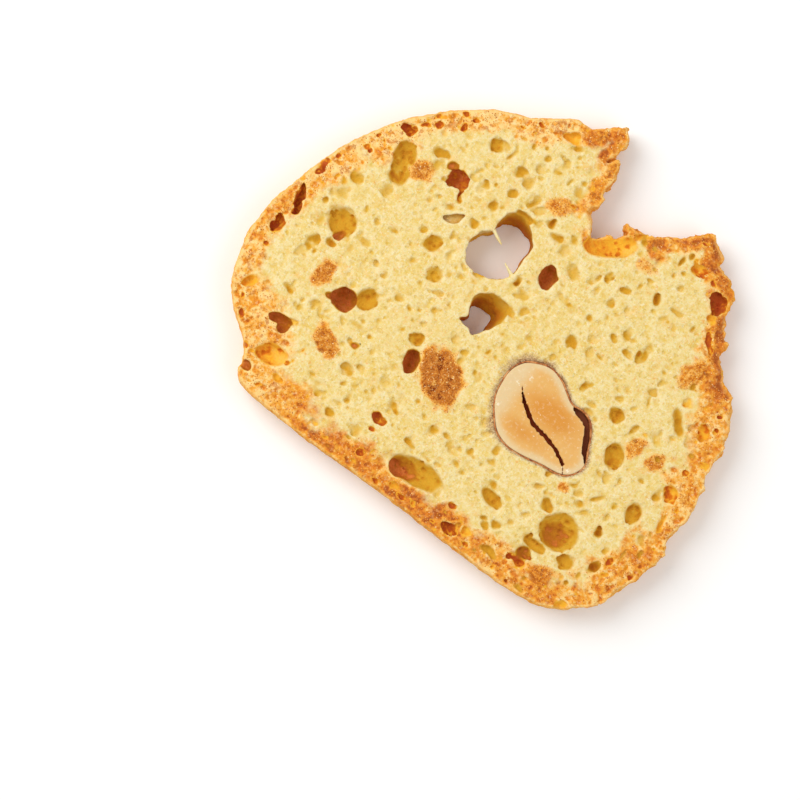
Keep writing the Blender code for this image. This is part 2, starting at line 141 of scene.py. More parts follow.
# bubbles that the knife has opened: x, y, length, width, and turn in degrees if any
bubbles = {
    "deep": [
        (0.8, 6.5, 2.9, 2.0, -75), (-17.4, -10.2, 3.0, 2.8), (-18.9, -10.9, 1.1, 0.6),
        (-6.4, -11.5, 2.9, 2.0, -75), (0.1, -22.6, 3.0, 1.7, -8), (-22.0, -16.8, 3.0, 1.1, 10),
        (-21.2, -17.2, 1.9, 1.3, 70), (-22.1, -23.5, 1.4, 1.0), (-16.3, 10.5, 1.3, 0.8, 40),
        (15.2, 5.2, 1.5, 0.7, -70), (-22.4, -4.3, 1.3, 1.0, 80),
    ],
    "red": [
        (-14.9, 9.5, 2.5, 2.2), (-14.1, 8.7, 1.5, 1.1, -50), (-13.4, 7.9, 1.2, 0.6, -55),
        (-5.5, -19.2, 1.5, 1.0, -10), (-5.4, -20.8, 0.8, 0.5), (-28.8, -3.8, 3.9, 1.2, -70),
        (-29.4, -7.7, 2.4, 1.2, -72), (-28.8, -10.3, 0.5, 0.4), (19.1, 16.3, 2.5, 1.7, -72),
        (15.4, 17.9, 1.1, 0.8, 20), (17.8, -23.2, 1.9, 1.0), (9.0, -24.7, 1.6, 1.4),
        (-23.3, 10.8, 1.6, 1.5), (-17.9, 15.0, 1.0, 0.9), (-18.7, 16.4, 0.8, 0.6),
        (-17.4, 16.6, 0.6, 0.5), (-20.7, 13.5, 0.8, 0.8), (-21.3, 14.2, 1.2, 0.5, 40),
        (-28.8, 1.3, 2.6, 0.9, 80), (13.8, 21.1, 0.9, 0.8), (17.4, 17.8, 0.8, 0.5),
        (-10.7, 20.9, 0.8, 0.5), (-12.4, 19.3, 0.6, 0.3), (-22.0, 12.5, 1.1, 0.4, 35),
        (-27.5, -17.0, 0.8, 0.5, -50), (-26.0, -19.0, 0.9, 0.5, -40), (-23.5, -21.5, 0.8, 0.5, -40),
        (-18.4, -20.5, 0.7, 0.5), (7.8, -22.4, 0.9, 0.6), (2.2, -25.2, 1.0, 0.5),
        (11.7, -25.2, 0.8, 0.5), (6.8, -25.3, 0.8, 0.4), (-1.5, -25.5, 0.8, 0.4),
        (-4.9, -23.8, 0.8, 0.7), (27.5, -6.0, 1.3, 1.0, -75), (28.0, -2.6, 0.8, 0.6),
        (30.0, -16.8, 0.8, 0.6, 90), (26.7, -16.8, 1.0, 0.7, 80), (27.4, 5.2, 0.7, 0.5),
        (28.0, 3.7, 0.7, 0.5), (-25.7, 8.2, 0.6, 0.4, 50), (-25.3, 6.0, 0.5, 0.4, 50),
        (-28.0, 3.4, 0.6, 0.4, 60), (21.1, 11.5, 2.8, 0.6, -50),
    ],
    "orange": [
        (4.6, 14.1, 6.6, 2.9, 34), (15.1, 18.1, 2.0, 1.6, 20), (-6.8, 22.0, 1.8, 1.2, 10),
        (-20.4, -20.7, 4.0, 2.5, 20), (-20.4, -16.2, 1.6, 0.8, 20), (17.8, -23.0, 2.1, 1.5),
        (11.0, -23.7, 1.6, 1.2), (-27.8, -14.9, 2.5, 1.4, 50), (19.6, 14.3, 1.4, 1.0, -60),
        (29.2, -9.4, 2.4, 0.7, -75), (28.0, -5.8, 2.1, 1.9, -55), (26.8, 2.5, 2.1, 1.6, -65),
        (-11.4, -24.1, 1.4, 0.8), (25.2, -24.3, 1.6, 0.9), (0.8, -24.6, 1.4, 0.7),
        (-18.0, -22.6, 1.3, 0.9), (23.3, 4.3, 1.1, 0.9), (-8.2, 1.5, 0.8, 0.6),
        (-26.8, 1.2, 0.9, 0.7, 30), (7.2, 17.2, 2.0, 0.7, 30), (21.3, -1.9, 0.9, 0.5),
    ],
    "brown": [
        # (-5.7, 10.5) in the next row is a brown bubble that paints the shadow under the great hole's upper
        # rim
        (-11.5, 15.6, 1.3, 0.4, 70), (-15.6, 6.6, 0.8, 0.6), (-5.7, 10.5, 2.4, 1.1),
        (-2.6, 12.1, 1.3, 1.1, 80), (-24.7, -7.6, 1.1, 0.8, 90), (-22.6, -5.6, 1.2, 1.0),
        (-8.0, -9.4, 0.7, 0.5, 30), (-23.4, -13.0, 1.4, 0.9), (-7.0, -22.5, 0.8, 0.7),
        (-7.1, -23.2, 0.9, 0.5), (-15.0, -19.7, 0.9, 0.6), (-9.9, -19.8, 0.9, 0.7, 80),
        (-9.3, -5.9, 0.5, 0.4), (-9.1, -7.4, 0.5, 0.3), (-8.4, -2.8, 0.7, 0.6), (-6.8, -3.4, 0.6, 0.4),
        (-12.2, -12.1, 0.5, 0.5), (-1.9, 3.9, 1.2, 1.0, 80), (19.8, -17.8, 3.4, 3.2, 20),
        (23.4, 1.5, 3.1, 0.5, -50), (25.9, -18.2, 1.9, 1.1, 75), (0.6, -22.2, 4.2, 2.4),
        (17.9, -21.9, 2.0, 1.7), (20.2, -6.6, 1.6, 1.3, -60), (25.4, -9.8, 1.4, 1.0, -75),
        (-21.1, 5.3, 1.7, 1.3, -30), (24.2, -21.7, 0.7, 0.6), (19.8, -24.4, 0.6, 0.6),
        (20.0, -25.6, 1.3, 0.5), (23.7, -14.5, 1.3, 1.1), (18.5, 11.8, 0.9, 0.5, 90),
        (12.8, 12.2, 1.6, 1.0, -60), (7.6, 1.3, 0.8, 0.4, 90), (27.7, -15.0, 1.6, 0.4, 90),
        (18.2, -11.4, 0.9, 0.3, 85), (14.6, -14.3, 0.9, 0.3), (21.2, -11.4, 2.1, 0.5, 50),
        (11.6, -21.4, 0.9, 0.5), (9.2, 17.0, 0.7, 0.5), (7.8, 16.8, 1.1, 0.8),
        (13.2, 18.8, 1.0, 0.8, 90), (12.6, 17.7, 1.5, 0.7, 90), (-7.6, 18.1, 0.8, 0.6),
        (19.2, 4.4, 1.2, 0.5, 90), (24.3, -3.3, 0.7, 0.6), (-3.9, 17.4, 1.1, 0.4, 80),
        (19.3, 1.8, 1.8, 0.3, -70), (5.1, 17.0, 0.7, 0.4, 40), (13.0, -25.1, 0.5, 0.4),
        (29.3, -13.8, 1.0, 0.7, 90), (28.9, -11.2, 0.8, 0.3, -60), (22.6, 6.3, 1.2, 0.6, 90),
    ],
    "golden": [
        (-5.5, 21.3, 1.6, 0.9), (-13.5, 15.7, 1.9, 1.7), (-11.3, 16.3, 1.3, 0.6, 85),
        (-9.3, 14.8, 2.0, 1.3), (-2.4, 18.2, 0.7, 0.6), (-1.6, 18.1, 0.7, 0.4), (-8.5, 19.0, 0.7, 0.6),
        (-6.3, 19.2, 0.8, 0.5), (-4.7, 20.3, 0.6, 0.6), (-11.4, 18.2, 0.9, 0.6),
        (-9.9, 18.4, 0.9, 0.6, 90), (-21.8, 8.2, 3.4, 2.8, -75), (-20.9, 5.9, 2.8, 2.3, -60),
        (-21.6, 6.9, 2.6, 2.0, -75), (19.9, -6.1, 3.3, 2.3, -60), (25.8, -10.3, 2.7, 1.9, -75),
        (-18.3, 11.0, 2.2, 1.5), (-24.8, 2.5, 1.5, 1.3), (-17.4, 0.0, 1.0, 0.9), (-11.8, 11.0, 1.2, 1.1),
        (-8.6, 12.0, 1.6, 1.0), (-9.5, 9.6, 1.4, 1.2), (-10.2, 6.4, 1.4, 1.1),
        (-12.7, 1.6, 2.3, 1.8, 60), (-13.7, 6.3, 1.2, 0.7, 20), (-14.6, 2.3, 0.9, 0.8),
        (-11.0, 3.8, 0.7, 0.6), (-1.0, 11.0, 1.6, 1.4), (-1.2, 2.4, 0.8, 0.6), (-0.4, 3.0, 0.9, 0.5, 80),
        (-5.9, 12.8, 2.3, 1.1, 75), (-23.1, -2.8, 3.7, 3.5), (-26.1, -1.9, 0.9, 0.9),
        (-24.4, -6.6, 2.1, 1.3, 85), (-15.1, -8.6, 2.8, 2.4, 80), (-7.5, -8.9, 1.8, 1.6),
        (-12.0, -16.9, 1.6, 1.4), (-13.2, -21.0, 0.9, 0.8), (-4.9, -17.1, 1.2, 1.1),
        (-12.3, -21.2, 0.6, 0.6), (-0.8, -19.5, 1.6, 1.0), (-1.3, -16.0, 0.8, 0.6, 90),
        (2.0, -21.8, 7.2, 3.1, 4), (11.0, -18.9, 3.2, 1.7, -12), (10.1, -17.6, 1.3, 0.9),
        (13.3, -21.0, 1.3, 1.2), (12.3, -22.0, 1.2, 0.7), (8.4, -15.6, 1.0, 0.8),
        (5.7, -15.9, 1.2, 0.9, 90), (6.3, -18.6, 0.9, 0.7), (5.0, -18.1, 0.8, 0.7),
        (3.3, -19.5, 0.9, 0.5), (2.1, -19.6, 0.8, 0.4), (0.5, -16.5, 1.5, 1.3, 90),
        (14.2, -24.2, 2.7, 1.1), (19.9, -17.4, 4.9, 4.7), (16.8, -15.7, 1.7, 1.5, 20),
        (17.9, -16.7, 1.3, 0.8, 55), (22.6, -19.8, 2.1, 1.8, 20), (18.2, -20.3, 3.1, 1.6, -8),
        (24.9, -20.3, 1.0, 0.8, 90), (25.6, -15.9, 1.0, 0.6, 90), (17.2, -2.0, 2.0, 1.6, -70),
        (19.8, -2.3, 1.6, 0.8, 90), (26.8, -7.1, 1.3, 1.2), (24.3, -6.6, 0.8, 0.6),
        (23.8, 1.6, 3.9, 1.3, -48), (27.4, -0.6, 0.9, 0.7), (12.2, -1.6, 1.4, 0.9, 80),
        (15.6, 5.8, 2.1, 1.2, -65), (7.7, 1.9, 1.7, 1.5), (13.5, 2.8, 0.8, 0.4), (11.5, 2.5, 0.9, 0.6),
        (12.6, 6.3, 1.2, 0.9), (11.3, 5.3, 1.1, 1.0), (13.8, 4.8, 1.2, 1.1), (7.7, 5.5, 0.8, 0.7, 90),
        (4.2, 5.5, 0.7, 0.5, 90), (8.7, 8.4, 1.3, 1.0), (2.4, 4.2, 0.7, 0.6), (5.7, 10.1, 1.0, 0.8, 90),
        (6.9, 10.8, 1.3, 1.0, 90), (9.2, 10.9, 1.2, 1.0), (0.7, 11.9, 1.3, 1.0), (11.0, 13.5, 1.1, 0.6),
        (10.4, 12.3, 0.9, 0.6, 90), (12.9, 15.7, 0.8, 0.6, 90), (13.7, 16.7, 0.6, 0.5),
        (10.4, 15.0, 0.8, 0.6), (8.0, 15.4, 0.7, 0.5, 90), (23.4, -12.4, 0.7, 0.6),
        (19.9, -13.3, 1.2, 1.0), (-1.9, -6.8, 0.9, 0.8), (0.4, -8.0, 0.9, 0.8), (-15.2, -5.3, 0.7, 0.6),
        (18.8, 5.6, 0.8, 0.7),
    ],
    "shallow": [
        (-2.1, 17.0, 1.5, 1.3), (-12.2, -6.2, 1.2, 1.1), (-19.8, -12.8, 1.4, 1.2),
        (4.0, -17.1, 1.3, 1.2), (15.8, 12.3, 1.8, 0.8), (2.9, 8.8, 2.0, 1.5), (9.4, 6.8, 0.6, 0.6),
        (6.3, 8.8, 0.6, 0.6), (-10.4, -1.4, 2.0, 1.9), (21.8, -15.6, 1.2, 0.3), (-11.2, -3.2, 0.6, 0.5),
        (-9.8, -3.3, 0.6, 0.5),
    ],
}

# grainy toasted patches: x, y, length, width, turn in degrees, strength
toastedPatches = [
    (-2.5, -10.7, 7.6, 5.3, -52, 1.0), (-3.3, 14.1, 3.8, 2.6, 20, 0.65),
    (-16.1, -15.6, 5.0, 3.2, -25, 0.75), (-21.1, -8.7, 4.4, 2.6, 80, 0.78),
    (-19.0, 7.6, 3.9, 3.0, 50, 0.76), (21.2, -23.0, 3.6, 3.2, 0, 0.65),
    (21.8, 7.3, 5.0, 4.0, 80, 0.68), (21.2, -3.6, 3.6, 2.4, 75, 0.68),
    (24.2, -4.0, 3.0, 2.2, 70, 0.74), (-18.4, 15.7, 2.8, 2.6, 30, 0.55),
    (17.2, -12.6, 1.9, 1.6, 0, 0.7), (-10.4, -1.4, 2.2, 2.0, 0, 0.35),
    (-0.6, 21.0, 4.2, 2.0, 95, 0.6), (-0.3, 17.8, 2.6, 2.0, 90, 0.55),
    (9.6, 14.6, 3.2, 2.4, 0, 0.5), (29.6, -5.3, 1.6, 1.4, 0, 0.7),
    (4.2, 14.0, 6.0, 2.4, 30, 0.45), (-4.2, 24.0, 3.0, 1.8, 30, 0.5),
    (8.8, 18.0, 5.0, 1.6, 30, 0.4),
]

# where the bake reaches further in from the crust: x, y, spread in square millimetres, how much further
crustWidenings = [(-23.0, -20.0, 50.0, 4.0), (-26.0, 6.0, 120.0, 1.5)]

# where the crust is darkest, besides the torn crown: x, y, size, strength
scorchedPlaces = [
    (-3.5, 24.0, 3.4, 0.85), (-25.0, -18.0, 7.0, 0.24), (5.0, -26.0, 9.0, 0.9), (-8.0, -26.0, 9.0, 0.8),
    (21.0, -25.0, 7.0, 0.5), (29.0, 1.0, 6.0, 0.4), (30.0, -14.0, 7.0, 0.5), (-29.0, -6.0, 5.0, 0.45),
]

# dark spots on toast and tip: x, y, size
burntSpots = [
    (-3.8, -9.1, 0.5), (-3.3, -9.8, 0.4), (-2.5, -12.8, 0.5), (-1.2, -12.8, 0.4), (-1.4, -10.4, 0.25),
    (-16.9, -16.4, 0.35), (-15.9, -16.9, 0.4), (-15.4, -17.7, 0.45), (20.4, -23.6, 0.4),
    (20.8, -22.2, 0.4), (-2.2, 24.6, 0.6), (-3.4, 24.8, 0.4), (-2.6, 22.8, 0.5),
]
paleFlake = (28.0, -9.7, 1.1, 1.4)   # a flake of crumb in the crust: x, y, half its width and height

pores = {
    "small": 1150, "soft": 200, "crust": 190, "lowerBubbles": 70, "wall": 300,
    "crumbDimple": 0.20, "crustDimple": 0.16,
}


# small tools for shapes

def smoothCurve(knots, step, closed):
    knots = np.array(knots, float)
    count = len(knots)
    points = []
    for i in range(count if closed else count - 1):
        if closed:
            before, here, there, after = (knots[(i + k) % count] for k in (-1, 0, 1, 2))
        else:
            before, here = knots[max(i - 1, 0)], knots[i]
            there, after = knots[i + 1], knots[min(i + 2, count - 1)]
        pieces = max(1, round(float(np.linalg.norm(there - here)) / step))
        for k in range(pieces):
            t = k / pieces
            points.append(0.5 * (
                2 * here
                + (there - before) * t
                + (2 * before - 5 * here + 4 * there - after) * t ** 2
                + (3 * here - before - 3 * there + after) * t ** 3
            ))
    if not closed:
        points.append(knots[-1])
    return np.array(points)


def lineDistance(x, y, points, closed):
    # distance to a run of straight stretches
    ends = np.roll(points, -1, axis=0) if closed else points[1:]
    starts = points if closed else points[:-1]
    least = np.full(x.shape, 1e9, np.float32)
    for (ax, ay), (bx, by) in zip(starts, ends):
        dx, dy = bx - ax, by - ay
        t = np.clip(((x - ax) * dx + (y - ay) * dy) / (dx * dx + dy * dy + 1e-12), 0, 1)
        least = np.minimum(least, (x - ax - t * dx) ** 2 + (y - ay - t * dy) ** 2)
    return np.sqrt(least)


def insideOf(x, y, points):
    inside = np.zeros(x.shape, bool)
    for (ax, ay), (bx, by) in zip(points, np.roll(points, -1, axis=0)):
        if ay == by:
            continue
        crosses = (ay > y) != (by > y)
        inside ^= crosses & (x < (bx - ax) * (y - ay) / (by - ay) + ax)
    return inside


def signedDistance(x, y, points):
    # positive inside the closed outline
    far = lineDistance(x, y, points, True)
    return np.where(insideOf(x, y, points), far, -far)


def smoothStep(low, high, value):
    t = np.clip((value - low) / (high - low), 0, 1)
    return t * t * (3 - 2 * t)


def cosAndSin(degrees):
    return math.cos(math.radians(degrees)), math.sin(math.radians(degrees))


def hump(x, y, atX, atY, spread):
    # 1 at its middle, and falling off around it; spread in square millimetres
    return np.exp(-((x - atX) ** 2 + (y - atY) ** 2) / spread)


def roundedSlab(flat, wall, radius):
    # where two distances meet, in an edge of this radius
    outer = np.maximum(flat + radius, 0) ** 2 + np.maximum(wall + radius, 0) ** 2
    return np.minimum(np.maximum(flat, wall) + radius, 0) + np.sqrt(outer) - radius


class Volume:
    # a box of voxels, with its grids x, y and z, smooth lattice noise and reading back at any point
    def __init__(self, low, high, voxel):
        self.low = np.array(low, float)
        self.voxel = voxel
        self.shape = tuple(int(math.ceil((b - a) / voxel)) + 1 for a, b in zip(low, high))
        self.axes = [a + voxel * np.arange(n) for a, n in zip(low, self.shape)]
        self.x, self.y = np.meshgrid(self.axes[0], self.axes[1], indexing="ij")
        self.z = self.axes[2].reshape(1, 1, -1)

    def noise(self, cell, seed):
        random = np.random.default_rng(seed)
        counts = [int(n * self.voxel / cell) + 3 for n in self.shape]
        values = random.uniform(-1, 1, counts).astype(np.float32)
        for axis, n in enumerate(self.shape):
            place = np.arange(n) * self.voxel / cell
            low = place.astype(int)
            t = (place - low).astype(np.float32)
            t = t * t * (3 - 2 * t)
            t = t.reshape([-1 if k == axis else 1 for k in range(3)])
            values = np.take(values, low, axis) * (1 - t) + np.take(values, low + 1, axis) * t
        return values

    def part(self, low, high):
        # the slices of the voxels between two corners, and their coordinates
        cut = []
        for k in range(3):
            first = max(0, int((low[k] - self.low[k]) / self.voxel))
            last = min(self.shape[k], int((high[k] - self.low[k]) / self.voxel) + 2)
            cut.append(slice(first, last))
        grids = np.meshgrid(*[self.axes[k][cut[k]] for k in range(3)], indexing="ij", sparse=True)
        return tuple(cut), grids

    def read(self, values, points):
        # values may be a map of the face alone, or of the height alone
        values = np.broadcast_to(values if values.ndim == 3 else values[:, :, None], self.shape)
        place = (points - self.low) / self.voxel
        base = np.clip(place.astype(int), 0, np.array(self.shape) - 2)
        t = np.clip(place - base, 0, 1)
        total = np.zeros(len(points))
        for corner in range(8):
            step = np.array([(corner >> k) & 1 for k in range(3)])
            weight = np.prod(np.where(step, t, 1 - t), axis=1)
            i, j, k = (base + step).T
            total += weight * values[i, j, k]
        return total


def largestShell(points, faces):
    # keeps the biggest connected surface, and drops loose crumbs and closed-in cavities
    label = np.arange(len(points))
    a = faces.ravel()
    b = np.roll(faces, -1, axis=1).ravel()
    while True:
        la, lb = label[a], label[b]
        split = la != lb
        if not split.any():
            break
        low, high = np.minimum(la, lb)[split], np.maximum(la, lb)[split]
        np.minimum.at(label, high, low)
        while True:
            nearer = label[label]
            if (nearer == label).all():
                break
            label = nearer
    biggest = np.bincount(label).argmax()
    kept = label == biggest
    renumber = np.cumsum(kept) - 1
    return points[kept], renumber[faces[kept[faces[:, 0]]]]


def meshOf(name, volume, field, mostFaces, coarseAt=None):
    # coarseAt tells, from 0 to 1, where the mesh may be thinned most
    grid = openvdb.FloatGrid()
    grid.background = 3.0
    grid.copyFromArray(np.clip(field, -3, 3).astype(np.float32))
    points, _, quads = grid.convertToPolygons(isovalue=0.0, adaptivity=0.0)
    points = points * volume.voxel + volume.low
    points, quads = largestShell(points, quads.astype(int))   # the faces already point outwards
    mesh = bpy.data.meshes.new(name)
    mesh.vertices.add(len(points))
    mesh.vertices.foreach_set("co", points.astype(np.float32).ravel())
    mesh.loops.add(quads.size)
    mesh.loops.foreach_set("vertex_index", quads.astype(np.int32).ravel())
    mesh.polygons.add(len(quads))
    mesh.polygons.foreach_set("loop_start", np.arange(0, quads.size, 4, dtype=np.int32))
    mesh.update(calc_edges=True)
    mesh.validate()
    piece = bpy.data.objects.new(name, mesh)
    bpy.context.scene.collection.objects.link(piece)
    if 2 * len(quads) > mostFaces:
        thin = piece.modifiers.new("thin", "DECIMATE")
        thin.ratio = mostFaces / (2 * len(quads))
        if coarseAt is not None:
            plain = piece.vertex_groups.new(name="plain")
            plain.add(list(range(len(points))), 0.05, "REPLACE")   # a weight of 0 would keep all of it
            for step in (0.3, 0.6, 0.9):
                chosen = np.flatnonzero(coarseAt(points) >= step).tolist()
                plain.add(chosen, step, "REPLACE")
            thin.vertex_group = "plain"
            thin.vertex_group_factor = slab["thinFactor"]
        graph = bpy.context.evaluated_depsgraph_get()
        thinned = bpy.data.meshes.new_from_object(piece.evaluated_get(graph))
        piece.modifiers.clear()
        piece.data = thinned
        bpy.data.meshes.remove(mesh)
        thinned.name = name
    places = pointsOf(piece)
    places[:, 2] = np.maximum(places[:, 2], 0)   # nothing reaches below the surface that it lies on
    piece.data.vertices.foreach_set("co", places.astype(np.float32).ravel())
    piece.data.shade_smooth()
    piece.data.calc_loop_triangles()
    print(name, "triangles from", 2 * len(quads), "to", len(piece.data.loop_triangles))
    return piece


def pointsOf(piece):
    places = np.empty(len(piece.data.vertices) * 3, np.float32)
    piece.data.vertices.foreach_get("co", places)
    return places.reshape(-1, 3).astype(float)


def keepValue(piece, name, values):
    made = piece.data.attributes.new(name, "FLOAT", "POINT")
    made.data.foreach_set("value", np.asarray(values, np.float32))


# the crumb

crustCurve = smoothCurve(crustKnots, 0.6, False)
outline = np.concatenate([crustCurve, tornEdge])
middle = (outline.min(axis=0) + outline.max(axis=0)) / 2
outline[:, 1] += slab["tipRise"] * hump(outline[:, 0], outline[:, 1], *crustKnots[0], slab["tipSpread"])
lowCorner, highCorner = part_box("biscuit")
thickness = (highCorner[2] - lowCorner[2]) / mm
faceUp, faceDown = 1, -1

space = Volume((-33.0, -28.0, -0.6), (33.0, 28.2, thickness + 0.7), slab["voxel"])
gridX, gridY, height = space.x, space.y, space.z
print("voxels", space.shape)

fromEdge = signedDistance(gridX, gridY, outline).astype(np.float32)
fromCrust = lineDistance(gridX, gridY, crustCurve, False).astype(np.float32)
fromTear = lineDistance(gridX, gridY, np.array(tornEdge), False).astype(np.float32)
coarse, medium, fine, tiny = (space.noise(*k) for k in ((3.4, 11), (1.3, 12), (0.62, 13), (0.36, 14)))

# how baked each place is: the crust's band, wider along the base and to the right too, and thinner at
# the tear
bandWidth = np.full(gridX.shape, slab["crustBand"])
for x, y, spread, extra in crustWidenings:
    bandWidth += extra * hump(gridX, gridY, x, y, spread)
bandWidth += 1.2 * smoothStep(-17, -21, gridY) + 1.5 * smoothStep(16, 26, gridX)
reach = (fromCrust / bandWidth)[:, :, None] + 0.32 * coarse + 0.26 * medium + 0.10 * fine
baked = 1 - smoothStep(0.30, 1.20, reach)
tearWidth = slab["tearBand"] + 1.2 * smoothStep(7, 11, gridX)
reach = (fromTear / tearWidth)[:, :, None] + 0.30 * coarse + 0.26 * medium
paleNotch = np.exp(-(((gridX - 0.4) / 1.3) ** 2 + ((gridY - 14.8) / 1.5) ** 2))[:, :, None]
tornBake = (1 - smoothStep(0.45, 1.2, reach)) * (1 - 0.85 * paleNotch)
crust = np.maximum(baked, tornBake)
flakeX, flakeY, flakeWide, flakeHigh = paleFlake
flakeAway = np.sqrt(((gridX - flakeX) / flakeWide) ** 2 + ((gridY - flakeY) / flakeHigh) ** 2)
onFlake = 1 - smoothStep(0.8, 1.1, flakeAway[:, :, None] + 0.15 * medium)
crust = (crust * (1 - 0.95 * onFlake)).astype(np.float32)

toast = np.zeros(space.shape, np.float32)
for x, y, length, width, turn, strength in toastedPatches:
    c, s = cosAndSin(turn)
    along = (gridX - x) * c + (gridY - y) * s
    across = (gridY - y) * c - (gridX - x) * s
    reach = np.sqrt((2 * along / length) ** 2 + (2 * across / width) ** 2)[:, :, None]
    rough = 0.42 - 0.24 * strength   # weak patches have the more broken edge
    patch = strength * (1 - smoothStep(0.80 * strength, 1.18, reach + rough * (medium + 0.7 * fine)))
    toast = np.maximum(toast, patch)
toast *= smoothStep(thickness - 2.4, thickness - 1.2, height)   # they show on the upper face
print("baking done")

lean = np.interp(height / thickness, *zip(*wallLean))
ragged = np.maximum(smoothStep(12, 22, gridX) * (gridY > -22), fromTear < 2.5)
ragged = (0.25 + 0.75 * ragged).astype(np.float32)[:, :, None]
wall = -fromEdge[:, :, None] + lean + ragged * (0.22 * medium + 0.09 * fine + 0.16 * coarse)
flat = np.abs(height - thickness / 2) - thickness / 2
field = roundedSlab(flat, wall, slab["edgeRadius"])

# rounded grains with creases between them, coarser on crust and toast
grained = np.abs(space.noise(0.8, 15)) * 0.9 + np.abs(space.noise(0.42, 16)) * 0.9 - 0.85
smoothRind = 1 - 0.9 * (1 - ragged) * smoothStep(0.7, 0.2, fromEdge)[:, :, None]
field -= slab["crustRelief"] * crust * grained * smoothRind
field -= slab["toastRelief"] * toast * grained
field += slab["crumbRelief"] * (0.8 * fine + 0.8 * tiny + 0.9 * medium)
slope = np.clip(1 - (fromTear / 1.7)[:, :, None] - 0.35 * medium - 0.2 * coarse, 0, 1)
field = np.maximum(field, height - thickness + 0.8 * slope * smoothStep(7, 10, gridX)[:, :, None])
field = np.maximum(field, height - (thickness + slab["proudMost"])).astype(np.float32)

# how dark the crust is: most on the torn crown and tip, then the foot and the base
scorch = (1 - smoothStep(0.3, 1.3, (fromTear / 2.4)[:, :, None] + 0.4 * medium)) * (1 - paleNotch)
scorch *= (0.55 + 0.4 * smoothStep(2, 7, gridX))[:, :, None]   # the notch's left side is a brighter orange
for x, y, size, strength in scorchedPlaces:
    scorch = np.maximum(scorch, strength * hump(gridX, gridY, x, y, size ** 2)[:, :, None])
baking = np.maximum(crust, toast)
for x, y, size in burntSpots:
    spotHere = hump(gridX, gridY, x, y, size ** 2)[:, :, None]
    spotHere = smoothStep(0.25, 0.9, spotHere * (1 + 0.9 * fine + 0.7 * tiny)) * (baking > 0.3)
    scorch = np.maximum(scorch, spotHere)
    field += 0.15 * spotHere
scorch = scorch.astype(np.float32)
tone = np.zeros(space.shape, np.float32)   # painted shade in a bubble's wall, browner as it goes deeper
red = np.zeros(space.shape, np.float32)    # and how far it leans to orange and red
halo = np.zeros(space.shape, np.float32)   # grey stain round the almond, and painted shade of the gap beneath on the slit's ledge

# the crumb's own soft dimples, where a noise runs high; the crust's are closer, sharper and browner
spongy = 0.6 * space.noise(1.15, 23) + 0.4 * space.noise(0.6, 24)
crisp = 0.5 * space.noise(0.8, 25) + 0.5 * space.noise(0.42, 26)
sparse = 0.12 * smoothStep(2, 16, gridX)[:, :, None] + 0.12 * coarse
dimple = smoothStep(0.10, 0.85, spongy - sparse) * (1 - baking)
pocked = smoothStep(0.05, 0.60, crisp) * crust * (1 - toast) * smoothRind
field += pores["crumbDimple"] * dimple + pores["crustDimple"] * pocked
# the crumb's dimples take a little painted shade in their walls
tone = np.maximum(tone, 0.30 * dimple).astype(np.float32)
red = np.maximum(red, smoothStep(0.2, 0.6, baking)).astype(np.float32)
print("dimples done")
warpX, warpY = space.noise(1.1, 21), space.noise(1.1, 22)


def ellipsoid(x, y, z, place, axes, turn, warp):
    # about the distance to it, in mm, negative inside
    c, s = cosAndSin(turn)
    dx, dy, dz = x - place[0] + warp[0], y - place[1] + warp[1], z - place[2]
    u, v, w = (dx * c + dy * s) / axes[0], (dy * c - dx * s) / axes[1], dz / axes[2]
    share = np.sqrt(u * u + v * v + w * w)   # of the way out to its surface
    steep = np.sqrt((u / axes[0]) ** 2 + (v / axes[1]) ** 2 + (w / axes[2]) ** 2)
    return share * (share - 1) / np.maximum(steep, 1e-6)


def rounded(first, second, radius):
    # the larger of two distances, with the edge between them rounded off
    h = np.clip(0.5 + 0.5 * (second - first) / radius, 0, 1)
    return first * (1 - h) + second * h + radius * h * (1 - h)


